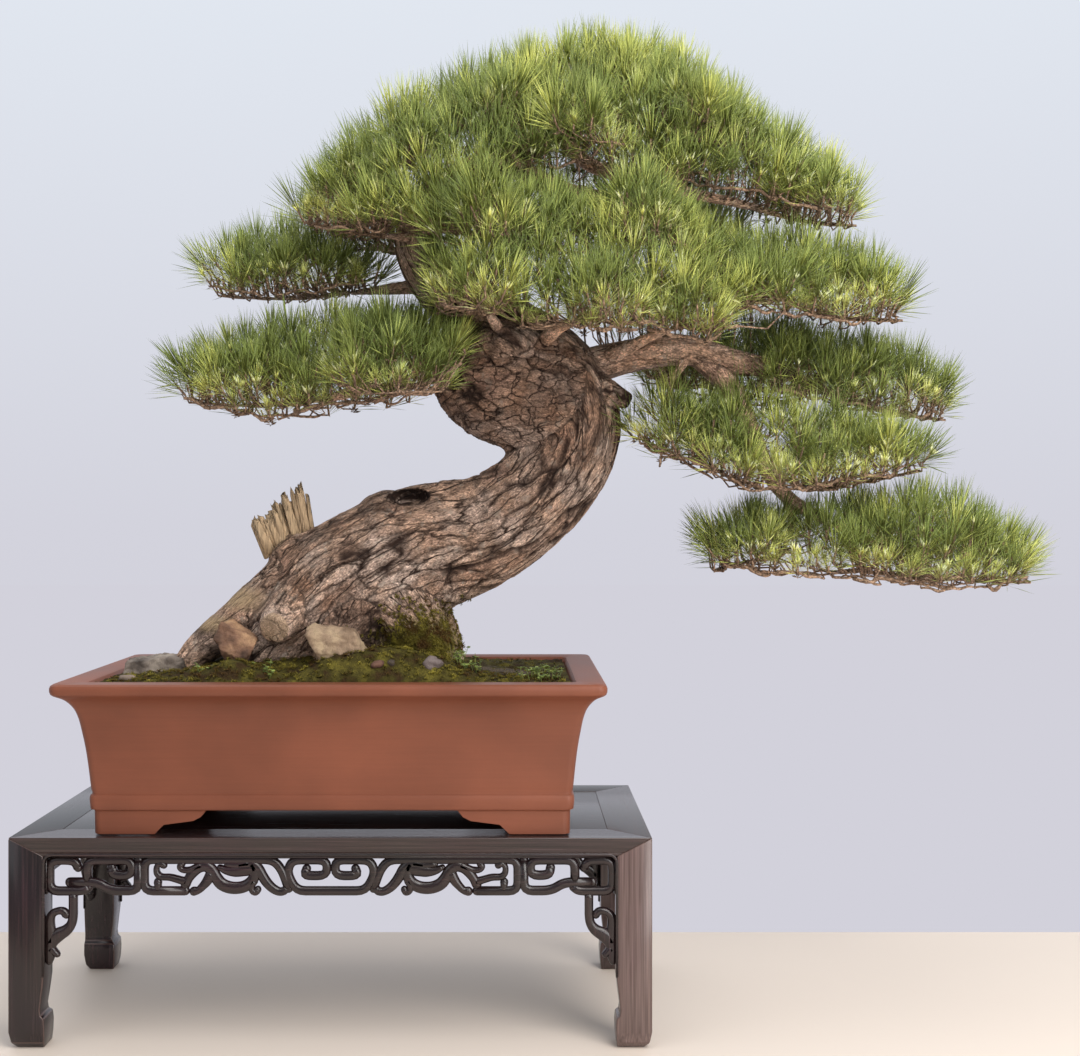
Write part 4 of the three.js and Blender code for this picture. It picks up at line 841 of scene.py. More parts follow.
def foot_arch(half_top, half_length, turned):
    """A solid that cuts the arch between the feet, right through the pot."""
    bm = bmesh.new()
    half = [(half_top + out, z) for out, z in FOOT_ARCH]
    outline = half + [(-x, z) for x, z in reversed(half)]
    face = bm.faces.new([bm.verts.new((x, -half_length, z)) for x, z in outline])
    made = bmesh.ops.extrude_face_region(bm, geom=[face])["geom"]
    far = [g for g in made if isinstance(g, bmesh.types.BMVert)]
    bmesh.ops.translate(bm, verts=far, vec=(0, 2 * half_length, 0))
    bmesh.ops.rotate(bm, verts=bm.verts, matrix=Matrix.Rotation(math.radians(turned), 3, "Z"))
    return recalculated(moved(bm, ON_STAND))


def smooth_profile(points, parts):
    """More points along a profile, smooth between the given ones."""
    flat = [(a, z, 0) for a, z in points]
    made = []
    for i in range(len(points) - 1):
        for k in range(parts):
            place, _ = spline(flat, i + k / parts)
            made.append((place.x, place.y))
    return made + [points[-1]]


def build_pot():
    wall = POT_OUTSIDE.index((47.0, 66.0)), POT_OUTSIDE.index((4.6, 204.0))
    outside = (
        POT_OUTSIDE[: wall[0]]
        + smooth_profile(POT_OUTSIDE[wall[0] : wall[1] + 1], 3)
        + POT_OUTSIDE[wall[1] + 1 :]
    )
    profile = list(reversed(POT_UNDERSIDE)) + outside
    bm = bmesh.new()
    bmesh.ops.create_grid(bm, x_segments=1, y_segments=1, size=1)
    half = Vector((POT["half_width"], POT["half_depth"], 1))
    bmesh.ops.scale(bm, vec=half, verts=bm.verts)
    bmesh.ops.bevel(
        bm, geom=list(bm.verts), offset=POT["corner"] * math.sqrt(2) * 1.05, segments=6,
        profile=0.5, affect="VERTICES", offset_type="OFFSET", material=-1,
    )
    base = next(iter(bm.faces))
    rim = {v: v.co.copy() for v in base.verts}
    edges = list(base.edges)
    for i, (inset, z) in enumerate(profile):
        if i > 0:
            edges, above = extruded_ring(bm, edges, list(rim))
            rim = dict(zip(above, rim.values()))
        for v, co in rim.items():
            v.co = Vector((co.x * (1 - inset / half.x), co.y * (1 - inset / half.y), z))
    bmesh.ops.contextual_create(bm, geom=edges)
    bm = cut(moved(recalculated(bm), ON_STAND), [
        foot_arch(FOOT_ARCH_TOPS["front"], POT["half_depth"], 0),
        foot_arch(FOOT_ARCH_TOPS["side"], POT["half_width"], 90),
    ])
    finish_piece(bm, "clay_pot", [clay()], ["pot"], math.radians(30))


# Ground


def earth():
    """Gritty potting soil, dark and moist between coarse pale grains of about 3 mm."""
    made, tree = new_material("gritty_soil", {"Roughness": 0.95})
    grains = add_node(tree, "TexVoronoi", {"Scale": 330, "Vector": object_place(tree)})
    stops = (0.1, linear("#2a2013")), (0.6, linear("#4a3a22")), (0.95, linear("#6c5a3c"))
    lay_on(tree, ramp(tree, grains.outputs["Color"], *stops), grains, 0.8, 0.002)
    return made


def mossy(name, light):
    """Moss: dense dull green cushions with brown and yellow patches; the light factor paints the
    shoots' copy lighter, a painted highlight for the light they catch.
    """
    made, tree = new_material(name, {"Roughness": 0.9, "Specular IOR Level": 0.2})
    where = object_place(tree)
    green = Vector(settings()[0].moss)
    tones = ramp(
        tree, cloudy(tree, where, 40, 6),
        (0.38, Vector(linear("#33240f")) * light), (0.5, green * 0.5 * light),
        (0.6, green * 0.85 * light), (0.76, Vector(linear("#6f6626")) * light),
    )
    # Shoots about 2 mm apart
    fibres = cloudy(tree, where, 460, 3)
    lay_on(tree, mixed(tree, "OVERLAY", 0.9, tones, fibres), fibres, 0.9, 0.003)
    return made


def surface_of(piece):
    """A search tree over an object, for letting things fall onto it."""
    return BVHTree.FromObject(piece, bpy.context.evaluated_depsgraph_get())


def fall(ground, x, y):
    """Place and normal where something let fall above x and y comes down."""
    return ground.ray_cast(at(x, y, SKY), -UP)[:2]


# Height from which things are let fall, and where the moss lies if there is no soil below it
SKY = 900
POT_FLOOR = 480
MOSS_GRID = (125, 66)
MOSS_HALF = (345, 190)
# Mound of moss at the right foot of the trunk: middle, reach, height
MOSS_MOUND = ((112, -112), 46, 15)
# Where the soil is bare: middle, reach
BARE = [((-60, -150), 26), ((250, -20), 60), ((-250, -40), 50)]
# Moss heaped against the stones: middle, reach, height
HEAPS = [((-152, -154), 40, 24), ((0, -164), 54, 25), ((66, -150), 46, 25), ((-240, -130), 50, 8),
         ((146, -150), 42, 19)]
# How far the sheet of moss reaches down into the soil, in metres
MOSS_FOOT = 0.026
MOSS_SHOOTS = 2600
# Shoots stand no higher than this on the trunk, in metres
MOSS_TOP = 0.64


def hump(x, y, middle, reach):
    """1 at a place on the ground, falling to 0 around it."""
    return math.exp(-((x - middle[0]) ** 2 + (y - middle[1]) ** 2) / reach**2)


def moss_thickness(x, y):
    """Thickness of the moss at a place, in mm: below 0, so under the soil, where that is bare."""
    spot = Vector((x, y, 3))
    lump = noise.fractal(spot * 0.06, 0.8, 2.1, 4) * 3.8 + noise.noise(spot * 0.2) * 1.6
    thick = 4.2 + lump
    for middle, reach in BARE:
        thick -= 7 * hump(x, y, middle, reach)
    # Heaps are lower by the pot's wall
    by_wall = 0.35 + 0.65 * min(1, (MOSS_HALF[1] - abs(y)) / 30)
    for middle, reach, height in HEAPS:
        thick += by_wall * height * hump(x, y, middle, reach)
    middle, reach, height = MOSS_MOUND
    return thick + height * hump(x, y, middle, reach)


def build_moss():
    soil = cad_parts["soil"]
    soil.data.materials.clear()
    soil.data.materials.append(earth())
    ground = surface_of(soil)
    bm = bmesh.new()
    bmesh.ops.create_grid(bm, x_segments=MOSS_GRID[0], y_segments=MOSS_GRID[1], size=1)
    to_mm = TO_FRAME.inverted()
    for v in bm.verts:
        x, y = v.co.x * MOSS_HALF[0], v.co.y * MOSS_HALF[1]
        hit, _ = fall(ground, x, y)
        z = (to_mm @ hit).z if hit else POT_FLOOR
        v.co = at(x, y, z + moss_thickness(x, y))
    made = bmesh.ops.extrude_face_region(bm, geom=bm.faces[:], use_keep_orig=True)["geom"]
    low = [g for g in made if isinstance(g, bmesh.types.BMVert)]
    bmesh.ops.translate(bm, verts=low, vec=(0, 0, -MOSS_FOOT))
    finish_piece(recalculated(bm), "moss_mat", [mossy("moss_mat", 1.0)], (), None)


def trimmed_ring(width, length, count, opening, seed, tint):
    """A ring of needles round the upright axis, each widest a little over its middle."""
    rng = random.Random(seed)
    bm = bmesh.new()
    along = bm.verts.layers.float.new("along")
    tone = bm.verts.layers.float.new("tint")
    for i in range(count):
        size = length * rng.uniform(0.84, 1.1)
        made = bmesh.ops.create_cone(
            bm, cap_ends=True, segments=3, radius1=width / 2, radius2=0, depth=size,
            matrix=Matrix.Translation((0, 0, size / 2)),
        )["verts"]
        root, one, two = [v for v in made if v.co.z < size / 2]
        root.co = (0, 0, 0)
        side, belly, high = width / 2, width * 0.3, size * 0.55
        one.co, two.co = (side, belly, high), (-side, belly, high)
        shade = min(1, max(0, tint + rng.uniform(-0.16, 0.16)))
        for v in made:
            v[along] = v.co.z / size
            v[tone] = shade
        tilt = opening + rng.uniform(-0.14, 0.14)
        turn = (i + rng.uniform(-0.35, 0.35)) * 2 * math.pi / count
        bmesh.ops.rotate(
            bm, verts=made,
            matrix=Matrix.Rotation(turn, 3, "Z") @ Matrix.Rotation(tilt, 3, "Y")
            @ Matrix.Rotation(rng.uniform(0, 2), 3, "Z"),
        )
    return small_shape(bm, "ring")


def put(bm, shape, matrix):
    """Adds a copy of a small shape to a bmesh."""
    mesh, points = shape
    turn = np.array(matrix.to_3x3())
    there = points @ turn.T + np.array(matrix.translation)
    mesh.vertices.foreach_set("co", there.astype(np.float32).ravel())
    bm.from_mesh(mesh)


def aimed(where, direction, spin, scale=1.0):
    """Matrix that puts a shape at a place, its upright axis along a direction."""
    turn = direction.to_track_quat("Z", "Y").to_matrix().to_4x4()
    return (
        Matrix.Translation(where) @ turn @ Matrix.Rotation(spin, 4, "Z") @ Matrix.Scale(scale, 4)
    )


def build_moss_tufts():
    """Short shoots over the moss, closest at the front, and on the trunk's mossy foot."""
    rng = random.Random(8)
    rings = [trimmed_ring(0.0012, 0.0048, 7, 0.75, seed, 0.4) for seed in range(4)]
    ground = surface_of(bpy.data.objects["moss_mat"])
    wood = surface_of(bpy.data.objects["trunk_wood"])
    bm = bmesh.new()
    for i in range(MOSS_SHOOTS):
        if i % 2:
            # Thrown at the trunk's foot from the front
            (x, _, z), (wide, _, high) = MOSSY_FOOT
            start = at(rng.gauss(x, wide * 0.46), -260, rng.gauss(z, high * 0.5))
            hit, normal = wood.ray_cast(start, Vector((0, 1, 0)))[:2]
        else:
            y = rng.uniform(-188, -96) if i % 8 else rng.uniform(-96, 186)
            hit, normal = fall(ground, rng.uniform(-335, 335), y)
        if hit is None or hit.z > MOSS_TOP:
            continue
        sway = Vector((rng.uniform(-0.3, 0.3), rng.uniform(-0.3, 0.3), 0.4))
        heading = (normal + sway).normalized()
        put(bm, rings[i % 4], aimed(hit, heading, rng.uniform(0, 6), rng.uniform(0.7, 1.5)))
    # The shoots' moss is painted 3.3 times lighter: painted light for the light that they catch
    finish_piece(bm, "moss_shoots", [mossy("moss_shoots", 3.3)], (), None)


# Base, light and dark colour of each stone
STONES = {
    "left": ("#785844", "#ae8b69", "#493428"),
    "right": ("#8c7660", "#b09b7c", "#624d3b"),
    "flat": ("#6f645b", "#998d80", "#3c332c"),
}
# Corners of the two broken stones
STONE_CORNERS = {
    "left": [(-187, -108, 577), (-177, -104, 602), (-120, -106, 578), (-124, -117, 564),
             (-142, -119, 549), (-174, -117, 561), (-184, -72, 588), (-168, -66, 606),
             (-126, -66, 586), (-166, -98, 530), (-146, -98, 530), (-160, -70, 530)],
    "right": [(-44, -140, 599), (-46, -151, 588), (-31, -154, 561), (8, -155, 556),
              (43, -151, 550), (33, -151, 587), (24, -141, 598), (-36, -136, 603),
              (-30, -104, 598), (24, -102, 592), (45, -106, 560), (-14, -140, 528),
              (26, -140, 528), (-20, -104, 528), (30, -104, 528)],
}
STONE_VOXEL = 0.0019
# Small stones on the moss: place, half sizes, colours
PEBBLES = [
    ((142, -160), (15, 11, 11), ("#544846", "#6f6360", "#2e2624")),
    ((64, -170), (9, 8, 7), ("#553a2e", "#745444", "#2e2019")),
    ((84, -166), (6, 6, 5), ("#5b4f45", "#7a6d60", "#352b24")),
    ((-304, -150), (14, 10, 6), ("#5a4c42", "#7d6d60", "#2f2621")),
]


def sandstone(name, hexes):
    """Broken stone: rough, with warm stains over a paler ground."""
    made, tree = new_material(name, {"Roughness": 0.85})
    where = object_place(tree)
    base, light, dark = (linear(h) for h in hexes)
    tones = ramp(tree, cloudy(tree, where, 24, 6), (0.34, dark), (0.48, base), (0.66, light))
    grain = cloudy(tree, where, 600, 3)
    lay_on(tree, mixed(tree, "OVERLAY", 0.4, tones, grain), grain, 0.6, 0.0015)
    return made


def break_off(bm, middle, name):
    """Splits flat faces off a stone's corners."""
    rng = random.Random(name)
    for _ in range(9):
        way = Vector((rng.gauss(0, 1), rng.gauss(0, 1), abs(rng.gauss(0, 0.7)))).normalized()
        reach = max((v.co - middle).dot(way) for v in bm.verts) * rng.uniform(0.84, 0.96)
        bmesh.ops.bisect_plane(
            bm, geom=bm.verts[:] + bm.edges[:] + bm.faces[:], plane_co=middle + way * reach,
            plane_no=way, clear_outer=True,
        )
        bmesh.ops.holes_fill(bm, edges=[e for e in bm.edges if e.is_boundary], sides=0)


def build_stones():
    for name, hexes in STONES.items():
        if name in STONE_CORNERS:
            bm = bmesh.new()
            for corner in STONE_CORNERS[name]:
                bmesh.ops.create_vert(bm, co=at(*corner))
            bmesh.ops.convex_hull(bm, input=bm.verts)
            recalculated(bm)
        else:
            bm = copy_of("stone_" + name)
            low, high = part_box("stone_" + name)
            # It lies half in the ground
            for v in bm.verts:
                v.co.z = low.z + (v.co.z - low.z) * 0.6
            break_off(bm, low.lerp(high, 0.4), name)
        bmesh.ops.triangulate(bm, faces=bm.faces)
        bm = bmesh_of(with_modifier(bm, "REMESH", mode="VOXEL", voxel_size=STONE_VOXEL))
        smooth_points(bm)
        for v in bm.verts:
            chips = noise.turbulence(v.co * 70, 4, True) - 0.5
            v.co += v.normal * (chips * 0.004 + noise.noise(v.co * 260) * 0.0006)
        stone = sandstone("rock_" + name, hexes)
        finish_piece(bm, "rock_" + name, [stone], ["stone_" + name], None)
    ground = surface_of(bpy.data.objects["moss_mat"])
    for number, ((x, y), size, hexes) in enumerate(PEBBLES, 1):
        middle, _ = fall(ground, x, y)
        bm = bmesh.new()
        bmesh.ops.create_icosphere(bm, subdivisions=4, radius=1)
        shape = Matrix.Diagonal((*(MM * half for half in size), 1))
        moved(bm, Matrix.Translation(middle) @ shape)
        for v in bm.verts:
            v.co += (v.co - middle) * noise.noise(v.co * 90) * 0.5
        name = "pebble_%d" % number
        break_off(bm, middle, name)
        finish_piece(bm, name, [sandstone(name, hexes)], (), None)


# Wood


def bark():
    """Old pine bark: pinkish grey plates with pale flaky edges, and nearly black fissures."""
    if "pine_bark" in bpy.data.materials:
        return bpy.data.materials["pine_bark"]
    pine, _ = settings()
    made, tree = new_material("pine_bark", {"Roughness": 0.88, "Specular IOR Level": 0.3})
    grain = stored(tree, "grain").outputs["Vector"]
    young = stored(tree, "young")
    where = object_place(tree)
    # Flakes about 2 mm across and 4 mm along the wood
    flakes = cloudy(tree, stretched(tree, grain, (460, 460, 230)), 1, 3, Roughness=0.6)
    # Crisp scales, about 8 mm across and 13 mm along, each in its own tone
    laid = stretched(tree, grain, (125, 125, 76))
    frayed = mixed(tree, "ADD", 1, laid, flakes.outputs["Color"])
    scales = add_node(tree, "TexVoronoi", {"Scale": 1, "Vector": frayed})
    scaly = calculated(tree, "MULTIPLY_ADD", scales.outputs["Color"], 0.26, flakes)
    base = Vector(pine.bark)
    plates = ramp(
        tree, scaly, (0.42, base * 0.3), (0.54, base * 0.8), (0.68, base * 1.3), (0.82, base * 2.5)
    )
    stained = ramp(
        tree, cloudy(tree, where, 14, 4),
        (0.4, (1, 1, 1)), (0.56, (1.06, 0.95, 0.84)), (0.7, (0.88, 0.76, 0.7)),
    )
    tinted = mixed(tree, "MULTIPLY", 1, plates, stained)
    # Grey crusts of lichen, 5 to 15 mm across
    crusts = cloudy(tree, where, 75, 4, Roughness=0.6)
    crusted = ranged(tree, crusts, (0.57, 0.66), (0, 0.7))
    pale_bark = mixed(tree, "MIX", crusted, tinted, colour(linear("#c0b2a4")))
    toned = mixed(tree, "MULTIPLY", stored(tree, "tone"), pale_bark, (0.5, 0.42, 0.37, 1))
    # The bark of younger limbs is warmer and paler, as young pine bark is, and also painted lighter
    # against the shade that the foliage casts on them
    young_and_painted_lighter = mixed(tree, "MULTIPLY", young, toned, (1.45, 1.36, 1.28, 1))
    # Thin cracks between long plates of about 23 by 90 mm
    plate_size = stretched(tree, grain, (43, 43, 11))
    wander = cloudy(tree, plate_size, 1.3, 3)
    wandering = mixed(tree, "ADD", 0.9, plate_size, wander.outputs["Color"])
    edges = {"feature": "DISTANCE_TO_EDGE", "Scale": 1, "Vector": wandering}
    seam = ranged(tree, add_node(tree, "TexVoronoi", edges), (0, 0.07), (1.9, 0))
    shown = calculated(tree, "MULTIPLY", ranged(tree, young, (0, 1), (1, 0.2)), wander)
    living = calculated(tree, "MULTIPLY", seam, shown, clamp=True)
    # The crack attribute also holds painted shade, in the hollow and at the shaded dark spots
    opened = calculated(tree, "MAXIMUM", stored(tree, "crack"), living)
    deep = mixed(tree, "MIX", opened, young_and_painted_lighter, colour(pine.fissure))
    fibrous = cloudy(tree, stretched(tree, grain, (500, 500, 26)), 1, 4)
    pale = Vector(pine.dead)
    bleached = ramp(tree, fibrous, (0.3, pale * 0.4), (0.5, pale), (0.7, pale * 1.3))
    weathered = mixed(tree, "MIX", stored(tree, "dead"), deep, bleached)
    green = Vector(pine.moss)
    cushions = ramp(
        tree, flakes, (0.35, green * 0.5), (0.5, green * 1.2), (0.7, linear("#8c8a36"))
    )
    grown = mixed(tree, "MIX", stored(tree, "moss"), weathered, cushions)
    lay_on(tree, grown, calculated(tree, "SUBTRACT", scaly, living), 1, 0.0042)
    return made


# Round scars where branches were: middle, reach
KNOTS = [((10, -108, 631), 44), ((-53, -96, 652), 22), ((250, -70, 1040), 30),
         ((300, -104, 930), 46)]
# Places without bark: middle, reach along x, y and z
BLEACHED = [((-148, -30, 634), (46, 60, 22)), ((-190, -34, 596), (36, 50, 16)),
            ((-84, -8, 708), (34, 30, 24))]
# Cut end of a root
CUT_ROOT = ((-94, -136, 592), 26)
# Mossy side of the trunk's foot: middle, reach
MOSSY_FOOT = ((130, -70, 568), (76, 90, 56))
# Voxel of the trunk's first skin
COARSE_VOXEL = 6
# Voxel of the last skin of each piece, in metres, and the most triangles that it keeps
WOOD_SKINS = {"trunk_wood": (0.0029, 142000), "branches": (0.0026, 70000)}
# Length that keeps the bark patterns of two limbs apart
LIMB_GAP = 1700
# Radius from which a branch has a finer round and larger plates
THICK_BRANCH = 17


def limb_table(limbs, step):
    """Stations of all limbs as arrays, with a bark plate size for each limb."""
    rows = []
    for number, (points, radii, plate) in enumerate(limbs):
        for centre, side, across, heading, radius, run in stations(points, radii, step):
            rows.append([*centre, *side, *across, *heading, radius, run + LIMB_GAP * number, plate])
    return np.array(rows)


def along_limbs(points, table):
    """For each point the nearest limb's coordinates: across, across, along, radius, plate size."""
    found = np.zeros((len(points), 5))
    for start in range(0, len(points), 2000):
        part = points[start : start + 2000]
        away = part[:, None, :] - table[None, :, 0:3]
        gap = np.linalg.norm(away, axis=2) - table[None, :, 12]
        best = gap.argmin(axis=1)
        near = table[best]
        rel = part - near[:, 0:3]
        end = start + len(part)
        found[start:end, 0] = (rel * near[:, 3:6]).sum(1)
        found[start:end, 1] = (rel * near[:, 6:9]).sum(1)
        found[start:end, 2] = near[:, 13] + (rel * near[:, 9:12]).sum(1)
        found[start:end, 3] = near[:, 12]
        found[start:end, 4] = near[:, 14]
    return found


def bell(points, middle, reach):
    """1 at a place and falling to 0 around it, with a reach in each direction."""
    return np.exp(-(((points - np.array(middle)) / np.array(reach)) ** 2).sum(1))


def bark_pattern(across, over, along, plate):
    """Fissure, tone of the plate, small cracks and flakes at a place on the bark, 0 to 1."""
    spot = Vector((across / plate, over / plate, along / (plate * 3.6)))
    spot += noise.noise_vector(spot * 0.7) * 0.62 + noise.noise_vector(spot * 2.6) * 0.22
    distances, centres = noise.voronoi(spot)
    gape = min(1, max(0.2, 0.7 + 1.2 * noise.noise(spot * 0.9 + Vector((7, 3, 1)))))
    fissure = max(0, 1 - (distances[1] - distances[0]) / 0.14) * gape
    small = Vector((across, over, along * 0.42)) * (3.2 / plate)
    small += noise.noise_vector(small * 0.8) * 0.5
    near, _ = noise.voronoi(small)
    fine = max(0, 1 - (near[1] - near[0]) / 0.34)
    return fissure, 0.5 + 0.5 * noise.cell(centres[0] * 7.3), fine, noise.turbulence(small, 3, True)


def put_on_bark(mesh, table, relief):
    """Displaces a wood mesh into plates and fissures, and stores what its material reads."""
    count = len(mesh.vertices)
    to_mm = np.array(TO_FRAME.inverted())
    points = stored_points(mesh, "co").astype(float) @ to_mm[:3, :3].T + to_mm[:3, 3]
    normals = stored_points(mesh, "normal").astype(float)
    # Noise vectors follow the clock unless they are seeded
    noise.seed_set(4)
    q = along_limbs(points, table)
    # The bark of the swelling is wrinkled, level across it
    wrinkled = bell(points, KNOB["at"], np.array(KNOB["size"]) * 1.05) > 0.36
    q[wrinkled, :3] = points[wrinkled] * np.array((0.75, 0.75, 4.2))
    found = np.array([bark_pattern(a, b, s, plate) for a, b, s, _, plate in q])
    fissure, tone, fine, flake = found.T
    depth = np.minimum(6.5, 0.075 * q[:, 3] + 0.4) * relief
    dead = np.zeros(count)
    for middle, reach in BLEACHED:
        dead = np.maximum(dead, np.clip(2.2 * bell(points, middle, reach) - 0.5, 0, 1))
    cut_end = bell(points, CUT_ROOT[0], [CUT_ROOT[1]] * 3) * (normals[:, 1] < -0.72)
    dead = np.maximum(dead, np.clip(3 * cut_end - 0.6, 0, 0.6))
    knot = np.zeros(count)
    rings = np.zeros(count)
    for middle, reach in KNOTS:
        away = np.linalg.norm(points - np.array(middle), axis=1)
        strength = np.clip(1.6 * np.exp(-((away / reach) ** 2)) - 0.25, 0, 1)
        rings += strength * np.sin(away * 0.75)
        knot = np.maximum(knot, strength)
    fissure = fissure * (1 - 0.85 * dead) * (1 - 0.6 * knot)
    fine = fine * (1 - 0.85 * dead)
    fissure, fine = fissure * (1 - 0.8 * cut_end), fine * (1 - 0.8 * cut_end)
    move = (
        -(fissure**1.4) * depth
        - fine * 0.14 * depth
        + (tone - 0.5) * 0.28 * depth
        + (flake - 0.6) * 0.34 * depth * (1 - 0.7 * dead)
        + rings * 1.6
        - knot * 2.0
    )
    moss = np.clip(2.6 * bell(points, *MOSSY_FOOT) - 0.7 + 0.7 * (flake - 0.6), 0, 1)
    move += moss * 4
    points = points + normals * move[:, None]
    to_frame = np.array(TO_FRAME)
    flat = (points @ to_frame[:3, :3].T + to_frame[:3, 3]).astype(np.float32)
    mesh.vertices.foreach_set("co", flat.ravel())
    # Painted shade: the inside of the hollow is darkened fully; the dark spots, two of them painted
    # shade, nearly so
    inside = (((points - np.array(HOLLOW["at"])) / (np.array(HOLLOW["size"]) * 1.04)) ** 2).sum(1)
    shade = np.where(inside < 1, 1.0, 0)
    for spot in DARK_SPOTS:
        shade = np.maximum(shade, 0.9 * bell(points, *spot))
    crack = np.clip(fissure**0.8 * relief + 0.3 * fine * relief + shade, 0, 1)
    # The swelling is darker; thin branches are paler than the trunk, partly painted light against
    # the shade of the foliage above them
    tone = tone * np.clip(q[:, 3] / 60, 0.15, 0.75)
    tone = np.clip(tone + knot * 0.7 + 0.6 * bell(points, KNOB["at"], (150, 120, 90)), 0, 1)
    young = np.clip(1.15 - q[:, 3] / 45, 0, 1)
    kept = {"crack": crack, "tone": tone, "dead": dead, "moss": moss, "young": young}
    for name, values in kept.items():
        layer = mesh.attributes.new(name, "FLOAT", "POINT")
        layer.data.foreach_set("value", values.astype(np.float32))
    layer = mesh.attributes.new("grain", "FLOAT_VECTOR", "POINT")
    layer.data.foreach_set("vector", (q[:, :3] * MM).astype(np.float32).ravel())
    mesh.update()


def trunk_relief(t, turn):
    """Long ridges and hollows of the old trunk."""
    ridges = 0.05 * math.sin(3 * turn + 7 * t) + 0.03 * math.sin(5 * turn - 11 * t + 1)
    return 1 + ridges + 0.03 * math.sin(23 * t + 2 * math.sin(turn))


def wood_mesh(bm, voxel):
    """One closed skin round overlapping limbs, in the frame's metres."""
    moved(recalculated(bm), TO_FRAME)
    bm = bmesh_of(with_modifier(bm, "REMESH", mode="VOXEL", voxel_size=voxel))
    for _ in range(2):
        smooth_points(bm)
    return mesh_of(bm, "wood")


def thinned(mesh, most):
    """The mesh with fewer triangles where it is smooth."""
    mesh.calc_loop_triangles()
    share = most / len(mesh.loop_triangles)
    return with_modifier(bmesh_of(mesh), "DECIMATE", ratio=min(1, share))


def finish_wood(bm, name, limbs, step, relief):
    """Skins overlapping limbs, lays bark on them and makes the piece."""
    voxel, most = WOOD_SKINS[name]
    mesh = wood_mesh(bm, voxel)
    put_on_bark(mesh, limb_table(limbs, step), relief)
    finish_mesh(thinned(mesh, most), name, [bark()], ["trunk"], None)


def jagged(t, turn):
    """Broken and lumpy, as a torn stub is."""
    return 1 + 0.5 * noise.noise(Vector((t * 2.4, math.cos(turn) * 1.3, math.sin(turn) * 1.3)))


def build_trunk():
    bm = bmesh.new()
    add_tube(bm, stations(TRUNK_LINE, TRUNK_RADII, 14), 32, 0.95, trunk_relief)
    add_tube(bm, stations(*STUMP, 20), 24, 0.74)
    for line, radii in ROOTS:
        add_tube(bm, stations(line, radii, 10), 14)
    add_tube(bm, stations(*STUB, 6), 14, 1.0, jagged)
    add_ball(bm, KNOB["at"], KNOB["size"], KNOB["tilt"])
    for middle, size in SWELLINGS:
        add_ball(bm, middle, size)
    # A coarse skin first, because the hollow is cut from one closed solid
    bm = bmesh_of(with_modifier(recalculated(bm), "REMESH", mode="VOXEL", voxel_size=COARSE_VOXEL))
    hollow = bmesh.new()
    add_ball(hollow, HOLLOW["at"], HOLLOW["size"])
    # Each limb has bark plates of its own size
    limbs = [(TRUNK_LINE, TRUNK_RADII, 38)]
    limbs += [(line, radii, 18) for line, radii in ROOTS]
    limbs.append((*STUB, 12))
    finish_wood(cut(bm, [hollow]), "trunk_wood", limbs, 9, 1.0)


def build_branches():
    bm = bmesh.new()
    limbs = []
    for line, radii in BRANCHES.values():
        is_thick = radii[0] > THICK_BRANCH
        add_tube(bm, stations(line, radii, 9), 10 if is_thick else 8)
        limbs.append((line, radii, 10 if is_thick else 7))
    finish_wood(bm, "branches", limbs, 7, 0.5)


def deadwood():
    """Weathered heartwood: pale straw fibres with grey and brown lines along them."""
    made, tree = new_material("weathered_deadwood", {"Roughness": 0.85})
    laid = add_node(tree, "Mapping", {
        "Rotation": (0, 0.35, 0), "Scale": (600, 600, 24), "Vector": object_place(tree),
    })
    fibres = cloudy(tree, laid, 1, 4)
    pale = Vector(settings()[0].dead)
    tones = ramp(
        tree, fibres,
        (0.3, pale * 0.22), (0.42, pale * 0.75), (0.56, pale * 1.1), (0.75, pale * 1.4),
    )
    lay_on(tree, tones, fibres, 0.8, 0.001)
    return made


# Fans of splinters: middle of the foot, spread of the feet, directions of the first and last
# splinter, longest at each end
SPLINTER_FANS = [
    {"foot": (-106, -14, 702), "spread": (32, 0, 4), "first": (-0.38, 0, 0.92),
     "last": (-0.3, 0, 0.95), "long": (62, 70), "count": 20},
    {"foot": (-70, -6, 711), "spread": (42, 0, 8), "first": (-0.36, 0, 0.93),
     "last": (-0.2, 0, 0.98), "long": (82, 104), "count": 30},
]


def build_splinters():
    rng = random.Random(31)
    slivers = []
    for _ in range(6):
        sliver = bmesh.new()
        bmesh.ops.create_cone(sliver, cap_ends=True, cap_tris=True, segments=8, radius1=1,
                              radius2=0.72, depth=1, matrix=Matrix.Translation((0, 0, 0.5)))
        # Its end is torn off in points
        for v in sliver.verts:
            v.co.z += rng.uniform(-0.16, 0.05) if v.co.z > 0.5 else 0
        slivers.append(small_shape(sliver, "sliver"))
    bm = bmesh.new()
    for fan in SPLINTER_FANS:
        for i in range(fan["count"]):
            u = i / (fan["count"] - 1)
            foot = Vector(fan["foot"]) + Vector(fan["spread"]) * (u - 0.5)
            foot += Vector((0, rng.uniform(-9, 9), rng.uniform(-6, 4)))
            way = Vector(fan["first"]).lerp(Vector(fan["last"]), u)
            way += Vector((rng.uniform(-0.06, 0.06), rng.uniform(-0.08, 0.08), 0))
            way.normalize()
            length = float(np.interp(u, (0, 1), fan["long"])) * (1 - 0.3 * rng.random() ** 2)
            # Its broad side faces the front
            broad = Vector((0, -1, 0)).cross(way).normalized()
            turn = Matrix((broad, way.cross(broad), way)).transposed().to_4x4()
            spin = Matrix.Rotation(rng.uniform(-0.35, 0.35) + rng.choice((0, math.pi)), 4, "Z")
            shaped = Matrix.Diagonal((rng.uniform(3, 8.5), rng.uniform(1.8, 3.4), length, 1))
            aim = TO_FRAME @ Matrix.Translation(foot) @ turn @ spin @ shaped
            put(bm, slivers[i % len(slivers)], aim)
    for mesh, _ in slivers:
        bpy.data.meshes.remove(mesh)
    finish_piece(recalculated(bm), "dead_wood", [deadwood()], (), None)


# Foliage


